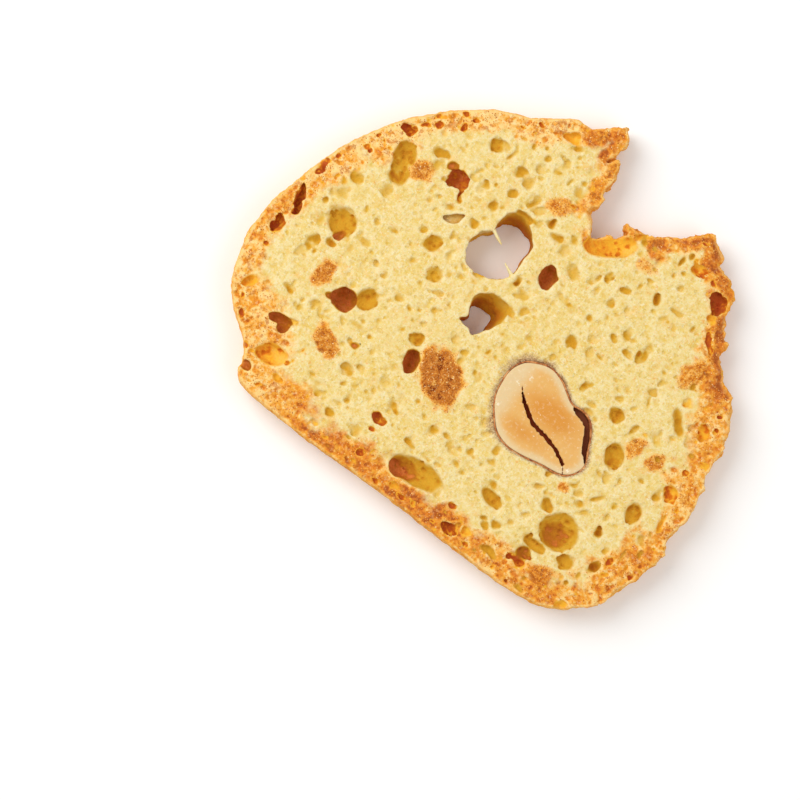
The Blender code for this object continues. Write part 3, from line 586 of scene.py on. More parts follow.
def cutBubble(x, y, length, width, turn, depth, kind, side=faceUp, swing=0.28):
    # an ellipsoid whose opening on the face has the given length and width
    face = thickness if side == faceUp else 0.0
    sink = kind["under"] * depth
    rise = depth - sink
    opened = math.sqrt(max(0.2, 1 - (sink / rise) ** 2)) if rise > sink else 0.6
    axes = (length / 2 / opened, width / 2 / opened, rise)
    place = (x, y, face - side * sink)
    reach = max(axes) + 0.6
    cut, grids = space.part([p - reach for p in place], [p + reach for p in place])
    steady = kind["soft"] > 0.5 and width > 1.6   # big soft ones have clean, round rims
    swing *= min(1.0, width) * (0.45 if steady else kind["ragged"])
    warp = (swing * warpX[cut], swing * warpY[cut])
    coarseness = min(0.05 if steady else 0.10 * kind["ragged"], 0.12 * width * kind["ragged"])
    far = ellipsoid(*grids, place, axes, turn, warp) + coarseness * (fine[cut] + 0.8 * tiny[cut])
    field[cut] = rounded(field[cut], -far, min(0.36, 0.05 + 0.22 * width * kind["soft"]))
    near = 1 - smoothStep(0.02, 0.05 + 0.45 * kind["soft"], far)
    below = smoothStep(-0.05, kind["fade"], side * (face - grids[2]))
    slant = ((x - grids[0]) * 0.8 + (y - grids[1]) * 0.6) / (length + width)   # painted shade on the wall nearest the key light, which faces away from it: darker to the lower left
    cutWallShade = kind["tone"] * near * (kind["rim"] + (1 - kind["rim"]) * below) * (1 + 0.45 * slant)
    tone[cut] = np.maximum(tone[cut] * (1 - 0.8 * near), cutWallShade)
    red[cut] = red[cut] * (1 - near) + kind["red"] * near
    for _ in range(int(5 * width) if width > 1.5 else 0):
        # small pores in the wall of a big bubble, with painted shade in them
        spin, drop, size = random.uniform(0, 6.28), random.uniform(0.2, 1.4), random.uniform(0.22, 0.6)
        c, s = cosAndSin(turn)
        u, v = axes[0] * math.cos(spin) * math.cos(drop), axes[1] * math.sin(spin) * math.cos(drop)
        spot = (x + u * c - v * s, y + u * s + v * c, place[2] - side * axes[2] * math.sin(drop))
        inCut, inGrids = space.part([p - 0.8 for p in spot], [p + 0.8 for p in spot])
        inFar = ellipsoid(*inGrids, spot, (size / 2, size / 2.4, size / 2), turn, (0, 0))
        field[inCut] = np.maximum(field[inCut], -inFar)
        inNear = (1 - smoothStep(0.02, 0.2, inFar)) * smoothStep(0.0, 0.3, side * (face - inGrids[2]))
        tone[inCut] = np.maximum(tone[inCut], (kind["tone"] + 0.16) * inNear)


random = np.random.default_rng(5)
for name, kind in bubbleKinds.items():   # from the shallow to the deep
    for x, y, length, width, *turned in bubbles[name]:
        turn = turned[0] if turned else 0
        depth = min(kind["most"], max(0.3, kind["depth"] * (length * width) ** 0.5 + 0.12))
        if width < 1:
            depth = min(depth, 0.2 + 0.45 * width)   # small ones are no deep wells
        cutBubble(x, y, length, width, turn, depth, kind)
print("bubbles", sum(len(rows) for rows in bubbles.values()))

# pores that no list could hold, on both faces and in the crust's wall
topLayer = int((thickness - 0.2 - space.low[2]) / space.voxel)


def poreKind(tone, red=0.0, under=0.1):
    return {"under": under, "tone": tone, "rim": 0.12 + 0.6 * red, "fade": 0.35, "red": red,
            "soft": 1.0 - 0.75 * red, "ragged": 1.3}


def warmth(i, j):
    # how far a pore's wall leans to orange: as far as the place is baked
    return 0.9 * float(smoothStep(0.2, 0.6, baking[i, j, topLayer]))


def randomSpot(clear):
    # somewhere at least this far inside the edge
    while True:
        x, y = random.uniform(-31.5, 31.5), random.uniform(-26.6, 26.6)
        i, j = int((x - space.low[0]) / space.voxel), int((y - space.low[1]) / space.voxel)
        if fromEdge[i, j] > clear:
            return x, y, i, j


for side in (faceUp, faceDown):
    for _ in range(pores["soft"]):
        x, y, i, j = randomSpot(0.6)
        if toast[i, j, topLayer] > 0.3:
            continue
        size = random.uniform(0.6, 1.5)
        cutBubble(x, y, size, size * random.uniform(0.5, 0.95), random.uniform(0, 180),
                  size * random.uniform(0.22, 0.40),
                  poreKind(random.uniform(0.20, 0.36), warmth(i, j)), side, 0.35)
    for _ in range(pores["small"]):
        x, y, i, j = randomSpot(0.3)
        if random.random() < smoothStep(2, 16, x) * 0.45 or toast[i, j, topLayer] > 0.3:
            continue   # fewer towards the right, and none on toast
        size = float(np.clip(random.lognormal(-0.92, 0.36), 0.22, 1.1))
        # how much painted shade the pore's wall takes
        brown = random.uniform(0.22, 0.50) if random.random() < 0.95 else random.uniform(0.55, 0.9)
        cutBubble(x, y, size, size * random.uniform(0.55, 1), random.uniform(0, 180),
                  size * random.uniform(0.25, 0.5), poreKind(brown, warmth(i, j)), side, 0.35)
    made = 0
    while made < pores["crust"]:
        x, y, i, j = randomSpot(0.15)
        if random.random() > crust[i, j, topLayer] * (1 - toast[i, j, topLayer]):
            continue
        made += 1
        size = float(np.clip(random.lognormal(-0.9, 0.35), 0.25, 1.0))
        # how much painted shade the crust pore's wall takes
        brown = random.uniform(0.3, 0.8)
        cutBubble(x, y, size, size * random.uniform(0.45, 1), random.uniform(0, 180),
                  size * random.uniform(0.3, 0.6), poreKind(brown, 1.0, 0.1), side, 0.6)
lowerKinds = [bubbleKinds[name] for name in ("deep", "brown", "golden", "shallow")]
for _ in range(pores["lowerBubbles"]):
    x, y, i, j = randomSpot(1.6)
    size = random.uniform(1.0, 3.0)
    kind = lowerKinds[random.integers(4)]
    cutBubble(x, y, size, size * random.uniform(0.6, 1), random.uniform(0, 180),
              min(1.3, kind["depth"] * size * 0.6), kind, faceDown)
for _ in range(pores["wall"]):
    x, y = outline[random.integers(len(outline))] + random.normal(0, 0.2, 2)
    z, size = random.uniform(0.5, thickness - 0.8), random.uniform(0.25, 0.9)
    place, axes = (x, y, z), (size / 2, size / 2, size * random.uniform(0.35, 0.6))
    cut, grids = space.part([p - 1.2 for p in place], [p + 1.2 for p in place])
    far = ellipsoid(*grids, place, axes, 0, (0, 0))
    field[cut] = np.maximum(field[cut], -far)
    # painted shade in the pores of the crust's side wall, with the crust's orange
    tone[cut] = np.maximum(tone[cut], 0.6 * (1 - smoothStep(0.08, 0.3, far)))
    red[cut] = np.maximum(red[cut], 1 - smoothStep(0.08, 0.3, far))
print("pores done")

# gaps right through, with painted shade in their walls that deepens further down
fromGap = np.full(gridX.shape, 9.0)
for name, (lower, upper) in throughGaps.items():
    lower, upper = smoothCurve(lower, 0.3, True), smoothCurve(upper, 0.3, True)
    spread = np.linspace(0, len(lower), len(upper), endpoint=False)
    wrapped = np.vstack([lower, lower[:1]])
    lower = np.stack([np.interp(spread, range(len(wrapped)), wrapped[:, k]) for k in (0, 1)], axis=1)
    lower[:, 1] += slab["gapLean"] * smoothStep(-0.3, 0.6, lower[:, 1] - lower[:, 1].mean())
    fromGap = np.minimum(fromGap, lineDistance(gridX, gridY, lower, True))
    both = np.vstack([lower, upper])
    cut, grids = space.part((*(both.min(axis=0) - 1.2), -1), (*(both.max(axis=0) + 1.2), thickness + 1))
    x, y = np.broadcast_arrays(grids[0][:, :, 0], grids[1][:, :, 0])
    for k in range(cut[2].start, cut[2].stop):
        share = float(np.clip(space.axes[2][k] / thickness, 0, 1))
        bulge = 0.2 * math.sin(math.pi * share)   # a bubble is widest inside
        rim = lower + (upper - lower) * (smoothStep(0.78, 0.84, share) if name == "slit" else share ** 1.3)
        level = (cut[0], cut[1], k)
        far = -signedDistance(x, y, rim) - bulge + 0.12 * fine[level] + 0.14 * medium[level]
        field[level] = np.maximum(field[level], -far)
        near = 1 - smoothStep(0.12, 0.5, far)
        down = thickness - space.axes[2][k]
        near = near * float(smoothStep(0.0, 0.35, down))
        # painted shade in the wall, deeper further down
        brown = 0.42 + 0.3 * float(smoothStep(1.0, 3.2, down)) + 0.2 * medium[level]
        brown = brown - 0.3 * smoothStep(-7.2, -8.4, x)
        # the slit's wall takes painted shade just under its rim
        if name == "slit":
            brown = 0.75 * float(smoothStep(0.1, 0.4, down) * smoothStep(0.9, 0.6, down))
            # the slit's ledge takes the grey as painted shade of the gap beneath it
            halo[level] = np.maximum(halo[level], 0.42 * near * float(smoothStep(0.5, 0.7, down)))
        tone[level] = tone[level] * (1 - near) + near * brown
        red[level] = red[level] * (1 - near) + 0.15 * near

for (ax, ay), (bx, by) in spurs:
    cut, grids = space.part((min(ax, bx) - 1, min(ay, by) - 1, thickness - 1.2),
                            (max(ax, bx) + 1, max(ay, by) + 1, thickness + 0.3))
    dx, dy = bx - ax, by - ay
    t = np.clip(((grids[0] - ax) * dx + (grids[1] - ay) * dy) / (dx * dx + dy * dy), 0, 1)
    aside = np.sqrt((grids[0] - ax - t * dx) ** 2 + (grids[1] - ay - t * dy) ** 2
                    + (grids[2] - thickness + 0.35) ** 2)
    thread = aside - (0.28 - 0.14 * t) + 0.05 * fine[cut]
    field[cut] = np.minimum(field[cut], thread)
    tone[cut] *= smoothStep(0.0, 0.2, thread)

# the almond's pocket, and the grey stain that its skin leaves in the crumb
almondSkinKnots = [
    (17.7, -9.2), (17.0, -7.6), (16.1, -5.7), (15.1, -4.5), (13.6, -4.0), (12.2, -4.1),
    (10.8, -3.3), (9.4, -2.5), (7.7, -2.1), (6.0, -2.5), (4.5, -3.4), (3.7, -5.0),
    (3.7, -7.0), (4.1, -8.8), (5.2, -10.6), (6.7, -12.1), (8.6, -12.8), (10.8, -12.7),
    (13.4, -12.2), (15.9, -11.8), (17.2, -10.8),
]
skinCurve = smoothCurve(almondSkinKnots, 0.4, True)
cut, grids = space.part((1.5, -15.0, -1), (20.0, 0.5, thickness + 1))
x, y = np.broadcast_arrays(grids[0][:, :, 0], grids[1][:, :, 0])
fromSkin = signedDistance(x, y, skinCurve)[:, :, None]
haloWidth = (0.6 + 0.8 * smoothStep(11, 4, x))[:, :, None]
halo[cut] = np.maximum(halo[cut], 0.9 * (1 - smoothStep(
    -0.1, 1.2, -fromSkin / haloWidth + 0.25 * medium[cut] + 0.15 * fine[cut])))
field[cut] -= 0.08 * halo[cut] * (1.2 * np.abs(tiny[cut]) - 0.2)
field[cut] = np.maximum(field[cut], fromSkin + 0.05 + 0.05 * fine[cut])

field = np.maximum(field, height - (thickness + slab["proudMost"]))
field = np.maximum(field, -height)   # it rests on its lower face


def blurred(values, far):
    # mean of the box of voxels that reaches this far to each side
    n = max(1, round(far / space.voxel))
    for axis in range(3):
        padded = np.pad(values, [(n + 1, n) if k == axis else (0, 0) for k in range(3)], mode="edge")
        total = np.cumsum(padded, axis=axis, dtype=np.float32)
        count = values.shape[axis]
        ahead = np.take(total, range(2 * n + 1, 2 * n + 1 + count), axis)
        behind = np.take(total, range(count), axis)
        values = (ahead - behind) / (2 * n + 1)
    return values


def plainAt(points):
    # the lower face, away from the gaps
    far = space.read(fromGap, points)
    return slab["lowerPlain"] * smoothStep(0.9, 0.4, points[:, 2]) * smoothStep(0.5, 1.5, far)


biscuit = meshOf("biscuitCrumb", space, field, slab["mostFaces"], plainAt)
places = pointsOf(biscuit)
solid = np.clip(0.5 - field / space.voxel, 0, 1).astype(np.float32)
# how deep in a hollow each place sits, kept for painted shade in the hollows and painted highlight on the
# ridges
crease = np.clip(0.5 + 2.2 * (space.read(blurred(solid, 0.3), places) - 0.5), 0, 1)
for name, values in (("crust", crust), ("toast", toast), ("tone", tone), ("red", red), ("halo", halo),
                     ("scorch", scorch)):
    keepValue(biscuit, name, np.clip(space.read(values, places), 0, 1))
keepValue(biscuit, "crease", crease)
keepValue(biscuit, "rind", 1 - smoothStep(0.10, 0.5, space.read(fromEdge, places)))
print("crumb done")


# grains on the crust, the toasted patches and round the almond

grains = {
    "count": 9500,
    "least": 0.05, "most": 0.12,   # radius
    "paleShare": 0.10,
}


def faceData(piece, kind, width):
    values = np.empty(len(piece.data.polygons) * width, np.float32)
    piece.data.polygons.foreach_get(kind, values)
    return values.reshape(-1, width) if width > 1 else values


centres, normals, areas = (faceData(biscuit, *k) for k in (("center", 3), ("normal", 3), ("area", 1)))
bakedHere = np.maximum(space.read(crust, centres), space.read(toast, centres) * 1.4)
haloHere = space.read(halo, centres)
hidden = space.read(tone, centres) > 0.3   # none in the bubbles
inset = smoothStep(0.25, 0.8, space.read(fromEdge, centres))
toastedHere = space.read(toast, centres)
weights = areas * (0.8 * bakedHere ** 2 + 2.5 * toastedHere ** 2 + 0.6 * haloHere ** 2 + 0.03)
weights *= inset * (normals[:, 2] > 0.3) * ~hidden
random = np.random.default_rng(8)
chosen = random.choice(len(centres), grains["count"], p=weights / weights.sum())
ball = bmesh.new()
bmesh.ops.create_icosphere(ball, subdivisions=1, radius=1)
ballPoints = np.array([v.co[:] for v in ball.verts])
ballFaces = np.array([[v.index for v in f.verts] for f in ball.faces])
ball.free()
grainPoints, grainFaces, grainShades, grainToast = [], [], [], []
for index in chosen:
    size = random.uniform(grains["least"], grains["most"]) * (0.7 + 0.3 * bakedHere[index])
    stretch = random.uniform(0.55, 1.25, 3)
    spin = np.array(Euler(random.uniform(0, 6.28, 3)).to_matrix())
    lumps = random.uniform(0.78, 1.15, (len(ballPoints), 1))
    points = (ballPoints * lumps * stretch * size) @ spin.T + centres[index] - normals[index] * size * 0.35
    if points[:, 2].max() > thickness + slab["proudMost"] or points[:, 2].min() < 0.02:
        continue
    grainFaces.append(ballFaces + len(grainPoints) * len(ballPoints))
    grainPoints.append(points)
    # pale grains stand partly for pale crumbs and partly for painted glints
    pale = random.uniform(0.55, 1) if random.random() < grains["paleShare"] else random.uniform(0.1, 0.6)
    grainShades.append(max(pale, 0.75) if bakedHere[index] < 0.3 else pale)
    grainToast.append(toastedHere[index] * (pale < 0.75))
print("grains", len(grainPoints))
grainMesh = bpy.data.meshes.new("crustGrains")
grainMesh.from_pydata(np.concatenate(grainPoints).tolist(), [], np.concatenate(grainFaces).tolist())
crustGrains = bpy.data.objects.new("crustGrains", grainMesh)
bpy.context.scene.collection.objects.link(crustGrains)
grainMesh.shade_smooth()
keepValue(crustGrains, "shade", np.repeat(grainShades, len(ballPoints)))
keepValue(crustGrains, "toast", np.repeat(grainToast, len(ballPoints)))


# the almond

almond = {
    "voxel": 0.09, "skinVoxel": 0.07,
    "mostFaces": 60000, "mostSkinFaces": 100000,
    "edgeRadius": 0.12, "crackWidth": 0.60, "crackDepth": 1.1, "skinThickness": 0.19, "peelDepth": 0.9,
}
nutBox = ((2.4, -14.2, -0.4), (19.0, -0.8, thickness + 0.5))
crackKnots = [
    (6.0, -5.9), (6.9, -6.9), (7.9, -7.7), (9.0, -8.4), (9.9, -8.8), (11.4, -9.1), (12.8, -9.4),
    (14.2, -9.9), (15.4, -10.6),
]
hairline = [(15.4, -10.6), (15.9, -11.2), (16.2, -11.7)]
peelKnots = [   # where the skin has come away: along the skin, and back along the kernel
    (12.2, -4.0), (13.6, -3.8), (15.2, -4.3), (16.3, -5.6), (17.2, -7.5), (17.8, -9.1), (17.3, -8.9),
    (16.5, -8.1), (16.0, -7.4), (15.7, -6.8), (15.3, -6.0), (14.9, -5.4), (14.3, -5.1), (13.4, -4.9),
    (12.7, -4.6),
]

nutSpace = Volume(*nutBox, almond["voxel"])
nutX, nutY, nutZ = nutSpace.x, nutSpace.y, nutSpace.z
nutEdge = signedDistance(nutX, nutY, skinCurve)
nutCoarse, nutMedium, nutFine = (nutSpace.noise(*k) for k in ((2.6, 31), (0.9, 33), (0.4, 32)))
nearFace = thickness / 2 - np.abs(nutZ - thickness / 2)   # depth below whichever face is nearer
nutWall = -nutEdge[:, :, None] + almond["skinThickness"] / 2 + 0.01 + 0.05 * nutCoarse
nutFlat = np.abs(nutZ - thickness / 2) - thickness / 2 + 0.03 + 0.03 * nutCoarse + 0.018 * nutFine
nutField = roundedSlab(nutFlat, nutWall, almond["edgeRadius"])
crackCurve = smoothCurve(crackKnots, 0.3, False)
fromCrack = lineDistance(nutX, nutY, crackCurve, False)
start, end = crackCurve[0], crackCurve[-1]
run = np.clip(((nutX - start[0]) * (end[0] - start[0]) + (nutY - start[1]) * (end[1] - start[1]))
              / np.sum((end - start) ** 2), 0, 1)
opened = 0.3 + 0.7 * smoothStep(0.0, 0.3, run)   # the crack narrows to both ends
crackHalf = (almond["crackWidth"] / 2 * opened * (1 - 0.3 * run))[:, :, None]
crackField = fromCrack[:, :, None] - crackHalf - 0.05 * nutFine - 0.10 * nutSpace.noise(0.25, 34)
hair = lineDistance(nutX, nutY, np.array(hairline), False)[:, :, None] - 0.05
crackField = np.minimum(crackField, np.maximum(hair, nearFace - 0.3))
crackField = np.maximum(crackField, nearFace - almond["crackDepth"])
nutField = np.maximum(nutField, -crackField)
peel = signedDistance(nutX, nutY, np.array(peelKnots))[:, :, None] + 0.07 * nutMedium
peel = peel + 0.10 * nutSpace.noise(0.25, 35)
nutField = np.maximum(nutField, np.minimum(peel, almond["peelDepth"] - nearFace))
nutField = np.maximum(nutField, -nutZ)
kernel = meshOf("almondKernel", nutSpace, nutField, almond["mostFaces"])
places = pointsOf(kernel)
edgeHere, crackHere = nutSpace.read(nutEdge, places), nutSpace.read(crackField, places)
below = np.clip(nutSpace.read(nearFace, places), 0, None)
paleEnd = 0.95 * smoothStep(8.0, 4.5, places[:, 0])
keepValue(kernel, "rim", np.maximum(1 - smoothStep(0.1, 1.5, edgeHere), paleEnd))
# painted shade: darker in the crack, and wherever the kernel lies more than a little below the face, as in
# the gap where the skin came away
keepValue(kernel, "split", smoothStep(0.12, 0.35, below) * (1 - smoothStep(0.10, 0.25, crackHere)))
keepValue(kernel, "peeled", smoothStep(0.12, 0.4, below))
aside = (places[:, 0] - start[0]) * (end[1] - start[1]) - (places[:, 1] - start[1]) * (end[0] - start[0])
# white crumbs on the crack's lower lip and in a few spots
crumbs = 0.5 * np.exp(-((crackHere - 0.05) / 0.10) ** 2) * (aside > 0)
for x, y in ((5.3, -5.9), (6.3, -4.6), (4.9, -9.3), (16.4, -10.9)):
    crumbs = np.maximum(crumbs, 0.7 * hump(places[:, 0], places[:, 1], x, y, 0.3))
keepValue(kernel, "crumbs", crumbs)
lobe = np.zeros(len(places))   # the deeper tan in the middle of each half
for x, y, wide, high, strength in ((11.0, -6.6, 3.8, 1.9, 1.0), (9.3, -10.2, 3.0, 1.2, 0.7)):
    away = ((places[:, 0] - x) / wide) ** 2 + ((places[:, 1] - y) / high) ** 2
    lobe = np.maximum(lobe, strength * np.exp(-away))
keepValue(kernel, "lobe", lobe)

skinSpace = Volume(*nutBox, almond["skinVoxel"])
skinEdge = signedDistance(skinSpace.x, skinSpace.y, skinCurve)[:, :, None]
skinCoarse, skinFine = skinSpace.noise(1.5, 41), skinSpace.noise(0.4, 42)
ring = np.abs(skinEdge + 0.05 * skinCoarse) - almond["skinThickness"] / 2 - 0.03 * skinFine
skinTop = skinSpace.z - (thickness - 0.06) + 0.06 * skinCoarse + 0.03 * skinFine
skinField = np.maximum(np.maximum(ring, skinTop), 0.12 - skinSpace.z)
nutSkin = meshOf("almondPeel", skinSpace, skinField, almond["mostSkinFaces"])
print("almond done")


# materials

def tint(red, green, blue):
    # screen colour, 0 to 255, as the linear colour that a shader takes
    def linear(value):
        v = value / 255
        return v / 12.92 if v <= 0.04045 else ((v + 0.055) / 1.055) ** 2.4
    return (linear(red), linear(green), linear(blue), 1.0)


class Shade:
    # one output socket, so that shader maths reads as Python, and the material's colours by name
    def __init__(self, tree, socket, look):
        self.tree = tree
        self.socket = socket
        self.look = look

    def make(self, kind, settings=None, inputs=None, output=0):
        node = self.tree.nodes.new(kind)
        for name, value in (settings or {}).items():
            if name == "stops":
                ramp = node.color_ramp
                while len(ramp.elements) < len(value):
                    ramp.elements.new(0.5)
                for element, (place, colour) in zip(ramp.elements, value):
                    element.position = place
                    element.color = colour
            else:
                setattr(node, name, value)
        for name, value in (inputs or {}).items():
            if isinstance(value, Shade):
                self.tree.links.new(value.socket, node.inputs[name])
            else:
                node.inputs[name].default_value = value
        return Shade(self.tree, node.outputs[output], self.look)

    def maths(self, operation, first, second):
        return self.make("ShaderNodeMath", {"operation": operation}, {0: first, 1: second})

    def __add__(self, other):
        return self.maths("ADD", self, other)

    def __radd__(self, other):
        return self.maths("ADD", other, self)

    def __sub__(self, other):
        return self.maths("SUBTRACT", self, other)

    def __rsub__(self, other):
        return self.maths("SUBTRACT", other, self)

    def __mul__(self, other):
        return self.maths("MULTIPLY", self, other)

    def __rmul__(self, other):
        return self.maths("MULTIPLY", other, self)

    def within(self, low, high):
        return self.make("ShaderNodeMapRange", {"interpolation_type": "SMOOTHSTEP"},
                         {"Value": self, "From Min": low, "From Max": high})

    def over(self, under, colour):
        # this value mixes from one colour to another
        colour = self.look[colour] if isinstance(colour, str) else colour
        return self.make("ShaderNodeMix", {"data_type": "RGBA"}, {0: self, 6: under, 7: colour}, 2)

    def stops(self, *stops):
        stops = [(place, self.look[colour]) for place, colour in stops]
        return self.make("ShaderNodeValToRGB", {"stops": stops}, {"Fac": self})

    def noise(self, size, detail=3.0, roughness=0.55):
        # size in mm
        return self.make("ShaderNodeTexNoise", {}, {
            "Vector": self, "Scale": 1000 / size, "Detail": detail, "Roughness": roughness})

    def pores(self, size, most):
        # round pores of many sizes, as a cut through bubbles leaves: 1 in a pore and 0 outside
        warped = self.make("ShaderNodeVectorMath", {"operation": "MULTIPLY_ADD"}, {
            0: self.make("ShaderNodeTexNoise", {}, {"Vector": self, "Scale": 1000 / size}, 1),
            1: (0.4 * size * mm,) * 3, 2: self})
        cell = {"Vector": warped, "Scale": 1000 / size}
        far = self.make("ShaderNodeTexVoronoi", {}, cell)
        cellColour = self.make("ShaderNodeTexVoronoi", {}, cell, 1)
        chance = self.make("ShaderNodeSeparateColor", {}, {0: cellColour})
        return 1 - far.make("ShaderNodeMapRange", {"interpolation_type": "SMOOTHSTEP"}, {
            "Value": far, "From Min": chance * most - 0.10, "From Max": chance * most + 0.10})

    def kept(self, name):
        return self.make("ShaderNodeAttribute", {"attribute_name": name}, output=2)

    def bump(self, strength, distance):
        return self.make("ShaderNodeBump", {}, {
            "Height": self, "Strength": strength, "Distance": distance * mm})


def newMaterial(name, look=None):
    made = bpy.data.materials.new(name)
    made.use_nodes = True
    shader = made.node_tree.nodes["Principled BSDF"]
    paint = Shade(made.node_tree, None, {word: tint(*colour) for word, colour in (look or {}).items()})
    spot = paint.make("ShaderNodeTexCoord", output=3)
    return made, shader, paint, spot


def finishMaterial(shader, colour, roughness, relief, gloss=None, softness=None):
    # gloss is the specular level; softness is how much light goes in, and how far each colour goes
    for name, shade in (("Base Color", colour), ("Roughness", roughness), ("Normal", relief)):
        shade.tree.links.new(shade.socket, shader.inputs[name])
    if gloss is not None:
        shader.inputs["Specular IOR Level"].default_value = gloss
    if softness is not None:
        shader.inputs["Subsurface Weight"].default_value = softness[0]
        shader.inputs["Subsurface Radius"].default_value = softness[1:]
        shader.inputs["Subsurface Scale"].default_value = 0.5 * mm


def mixed(under, *layers):
    # colours laid one over another, each with how much it covers
    for amount, colour in layers:
        under = amount.over(under, colour)
    return under


crumbLook = {
    "pale": (238, 220, 166), "crumb": (232, 205, 132), "yellow": (226, 190, 92),
    "fleck": (243, 231, 196), "straw": (222, 186, 92), "golden": (214, 163, 46),
    "amber": (200, 136, 32), "russet": (180, 108, 26), "deepBrown": (216, 126, 60),
    "orange": (244, 190, 52), "rust": (180, 74, 28),
    "crustPale": (247, 208, 134), "crustMid": (237, 162, 50), "crustBrown": (218, 120, 28),
    "crustDark": (168, 76, 20), "rindPale": (242, 196, 118), "blush": (236, 180, 92),
    "freckle": (228, 156, 66),
    "crustFleck": (250, 222, 164), "toastLight": (246, 196, 108),
    "toastFleck": (246, 212, 152),
    "toastPale": (234, 172, 84), "toast": (180, 104, 34), "toastBrown": (206, 122, 40),
    "toastDark": (132, 60, 18),
    "stain": (168, 126, 86), "stainPale": (214, 186, 144), "stainDark": (134, 92, 58),
}

made, shader, paint, spot = newMaterial("biscuit crumb and crust", crumbLook)
broad, mottle, grain = spot.noise(3.2, 3), spot.noise(0.95, 4, 0.65), spot.noise(0.28, 3, 0.7)
crumble = spot.noise(1.15, 4, 0.6)
# painted shade in creases and painted highlight on ridges
crease = paint.kept("crease")
paintedWallShade, redness, baked = paint.kept("tone"), paint.kept("red"), paint.kept("crust")
finePores = spot.pores(0.62, 0.36)
tinyPores = spot.pores(0.33, 0.40)

# pale crumb: clouded cream and yellow, with fine pores and nearly white flecks, darker in creases and paler
# on ridges as painted shade and painted highlight
light = mottle * 0.40 + grain * 0.45 + broad * 0.15 - (crease - 0.5) * 0.25
colour = light.stops((0.38, "yellow"), (0.48, "crumb"), (0.58, "pale"))
freckled = spot.noise(0.50, 2, 0.6).within(0.61, 0.68) * spot.noise(5.0, 2).within(0.42, 0.60)
colour = mixed(
    colour,
    (broad.within(0.50, 0.70) * 0.35, "yellow"),
    (spot.noise(1.7, 3, 0.6).within(0.56, 0.72) * 0.35, "blush"),
    (freckled * 0.55, "freckle"),
    # the fine pores are tinted straw and yellow as painted shade in them
    (finePores * 0.42, "straw"),
    (tinyPores * 0.35, "yellow"),
    # nearly white flecks: partly pale crumbs, partly painted highlights
    (spot.noise(0.34, 2, 0.6).within(0.60, 0.68) * 0.55, "fleck"),
)

# crust: orange and peach in patches, browner towards the rind, with red-brown specks, and darker in creases
# as painted shade
high = crumble * 0.60 + spot.noise(2.4, 3) * 0.20 + grain * 0.20 - (crease - 0.5) * 0.35
high = high - paint.kept("scorch") * 0.23 + 0.06
crustColour = high.stops(
    (0.30, "crustDark"), (0.39, "crustBrown"), (0.49, "crustMid"), (0.60, "crustPale"))
crustAmount = (baked * 1.2 + 1.5 * (spot.noise(1.5, 4, 0.65) - 0.5)).within(0.22, 0.92)
specks = spot.noise(0.95, 4, 0.6).within(0.54, 0.62) * baked.within(0.25, 0.90)
flecks = spot.noise(0.55, 3, 0.6).within(0.56, 0.64) * crustAmount * (1 - 0.8 * paint.kept("scorch"))
colour = mixed(
    colour,
    (crustAmount * 0.95, crustColour),
    (specks * 0.62, grain.stops((0.42, "crustDark"), (0.58, "crustBrown"))),
    (flecks * 0.5, "crustFleck"),
)

toast = paint.kept("toast")
fibre = spot.noise(0.22, 3, 0.7)
# the toast is darker in creases as painted shade, and darker where scorched
swirl = spot.noise(0.90, 3, 0.6) * 0.45 + fibre * 0.55 - (crease - 0.5) * 0.5
swirl = swirl - paint.kept("scorch") * 0.15
brownToast = swirl.stops((0.36, "toastDark"), (0.44, "toast"), (0.52, "toastBrown"), (0.64, "toastPale"))
paleToast = swirl.stops((0.36, "toast"), (0.43, "crustBrown"), (0.50, "crustMid"), (0.60, "toastLight"))
toastColour = toast.within(0.50, 0.95).over(paleToast, brownToast)
# pale specks on the toast, painted glints
toastGlints = spot.noise(0.19, 2, 0.6).within(0.61, 0.68) * toast.within(0.3, 0.9)
toastColour = (toastGlints * 0.7).over(toastColour, "toastFleck")
toastAmount = (toast * 1.2 + 0.7 * (mottle - 0.5) + 0.6 * (fibre - 0.5)).within(0.10, 0.80)
colour = toastAmount.over(colour, toastColour)

# walls of the bubbles: painted shade, olive gold to brown as they deepen, or orange to rust near the crust,
# where the baked colour takes the same painted shade
depth = paintedWallShade + 0.22 * (mottle - 0.5) + 0.22 * (grain - 0.5)
plain = depth.stops(
    (0.05, "straw"), (0.36, "golden"), (0.58, "amber"), (0.80, "russet"), (1.0, "deepBrown"))
warm = depth.stops(
    (0.05, "crustMid"), (0.28, "crustMid"), (0.48, "orange"), (0.66, "crustBrown"), (0.88, "rust"))
walled = (paintedWallShade - redness * 0.2 + 0.16 * (grain - 0.5)).within(0.0, 0.44)
colour = walled.over(colour, redness.over(plain, warm))

rindColour = (mottle * 0.6 + grain * 0.4).stops((0.38, "crustBrown"), (0.48, "crustMid"), (0.58, "rindPale"))
colour = (paint.kept("rind") * 0.7).over(colour, rindColour)
# grey stain round the almond; on the slit's ledge the same grey is painted shade of the gap beneath
stain = spot.noise(0.18, 3, 0.7).stops((0.38, "stainDark"), (0.50, "stain"), (0.64, "stainPale"))
stainedAndShaded = (paint.kept("halo") + 0.9 * (spot.noise(0.24, 3, 0.65) - 0.5)).within(0.15, 0.95)
colour = stainedAndShaded.over(colour, stain)
relief = grain * 0.5 + spot.noise(0.16, 2, 0.6) * 0.35 - finePores * 0.5 - tinyPores * 0.3
finishMaterial(shader, colour, 0.72 + 0.16 * mottle, relief.bump(0.8, 0.12), 0.10, (0.10, 1.0, 0.5, 0.2))
biscuit.data.materials.append(made)

grainLook = {
    "dark": (180, 90, 26), "mid": (232, 156, 56), "pale": (246, 205, 126),
    "white": (248, 214, 154), "toasted": (192, 112, 40),
}
made, shader, paint, spot = newMaterial("crust grains", grainLook)
shade = paint.kept("shade") + 0.2 * (spot.noise(0.3, 2) - 0.5)
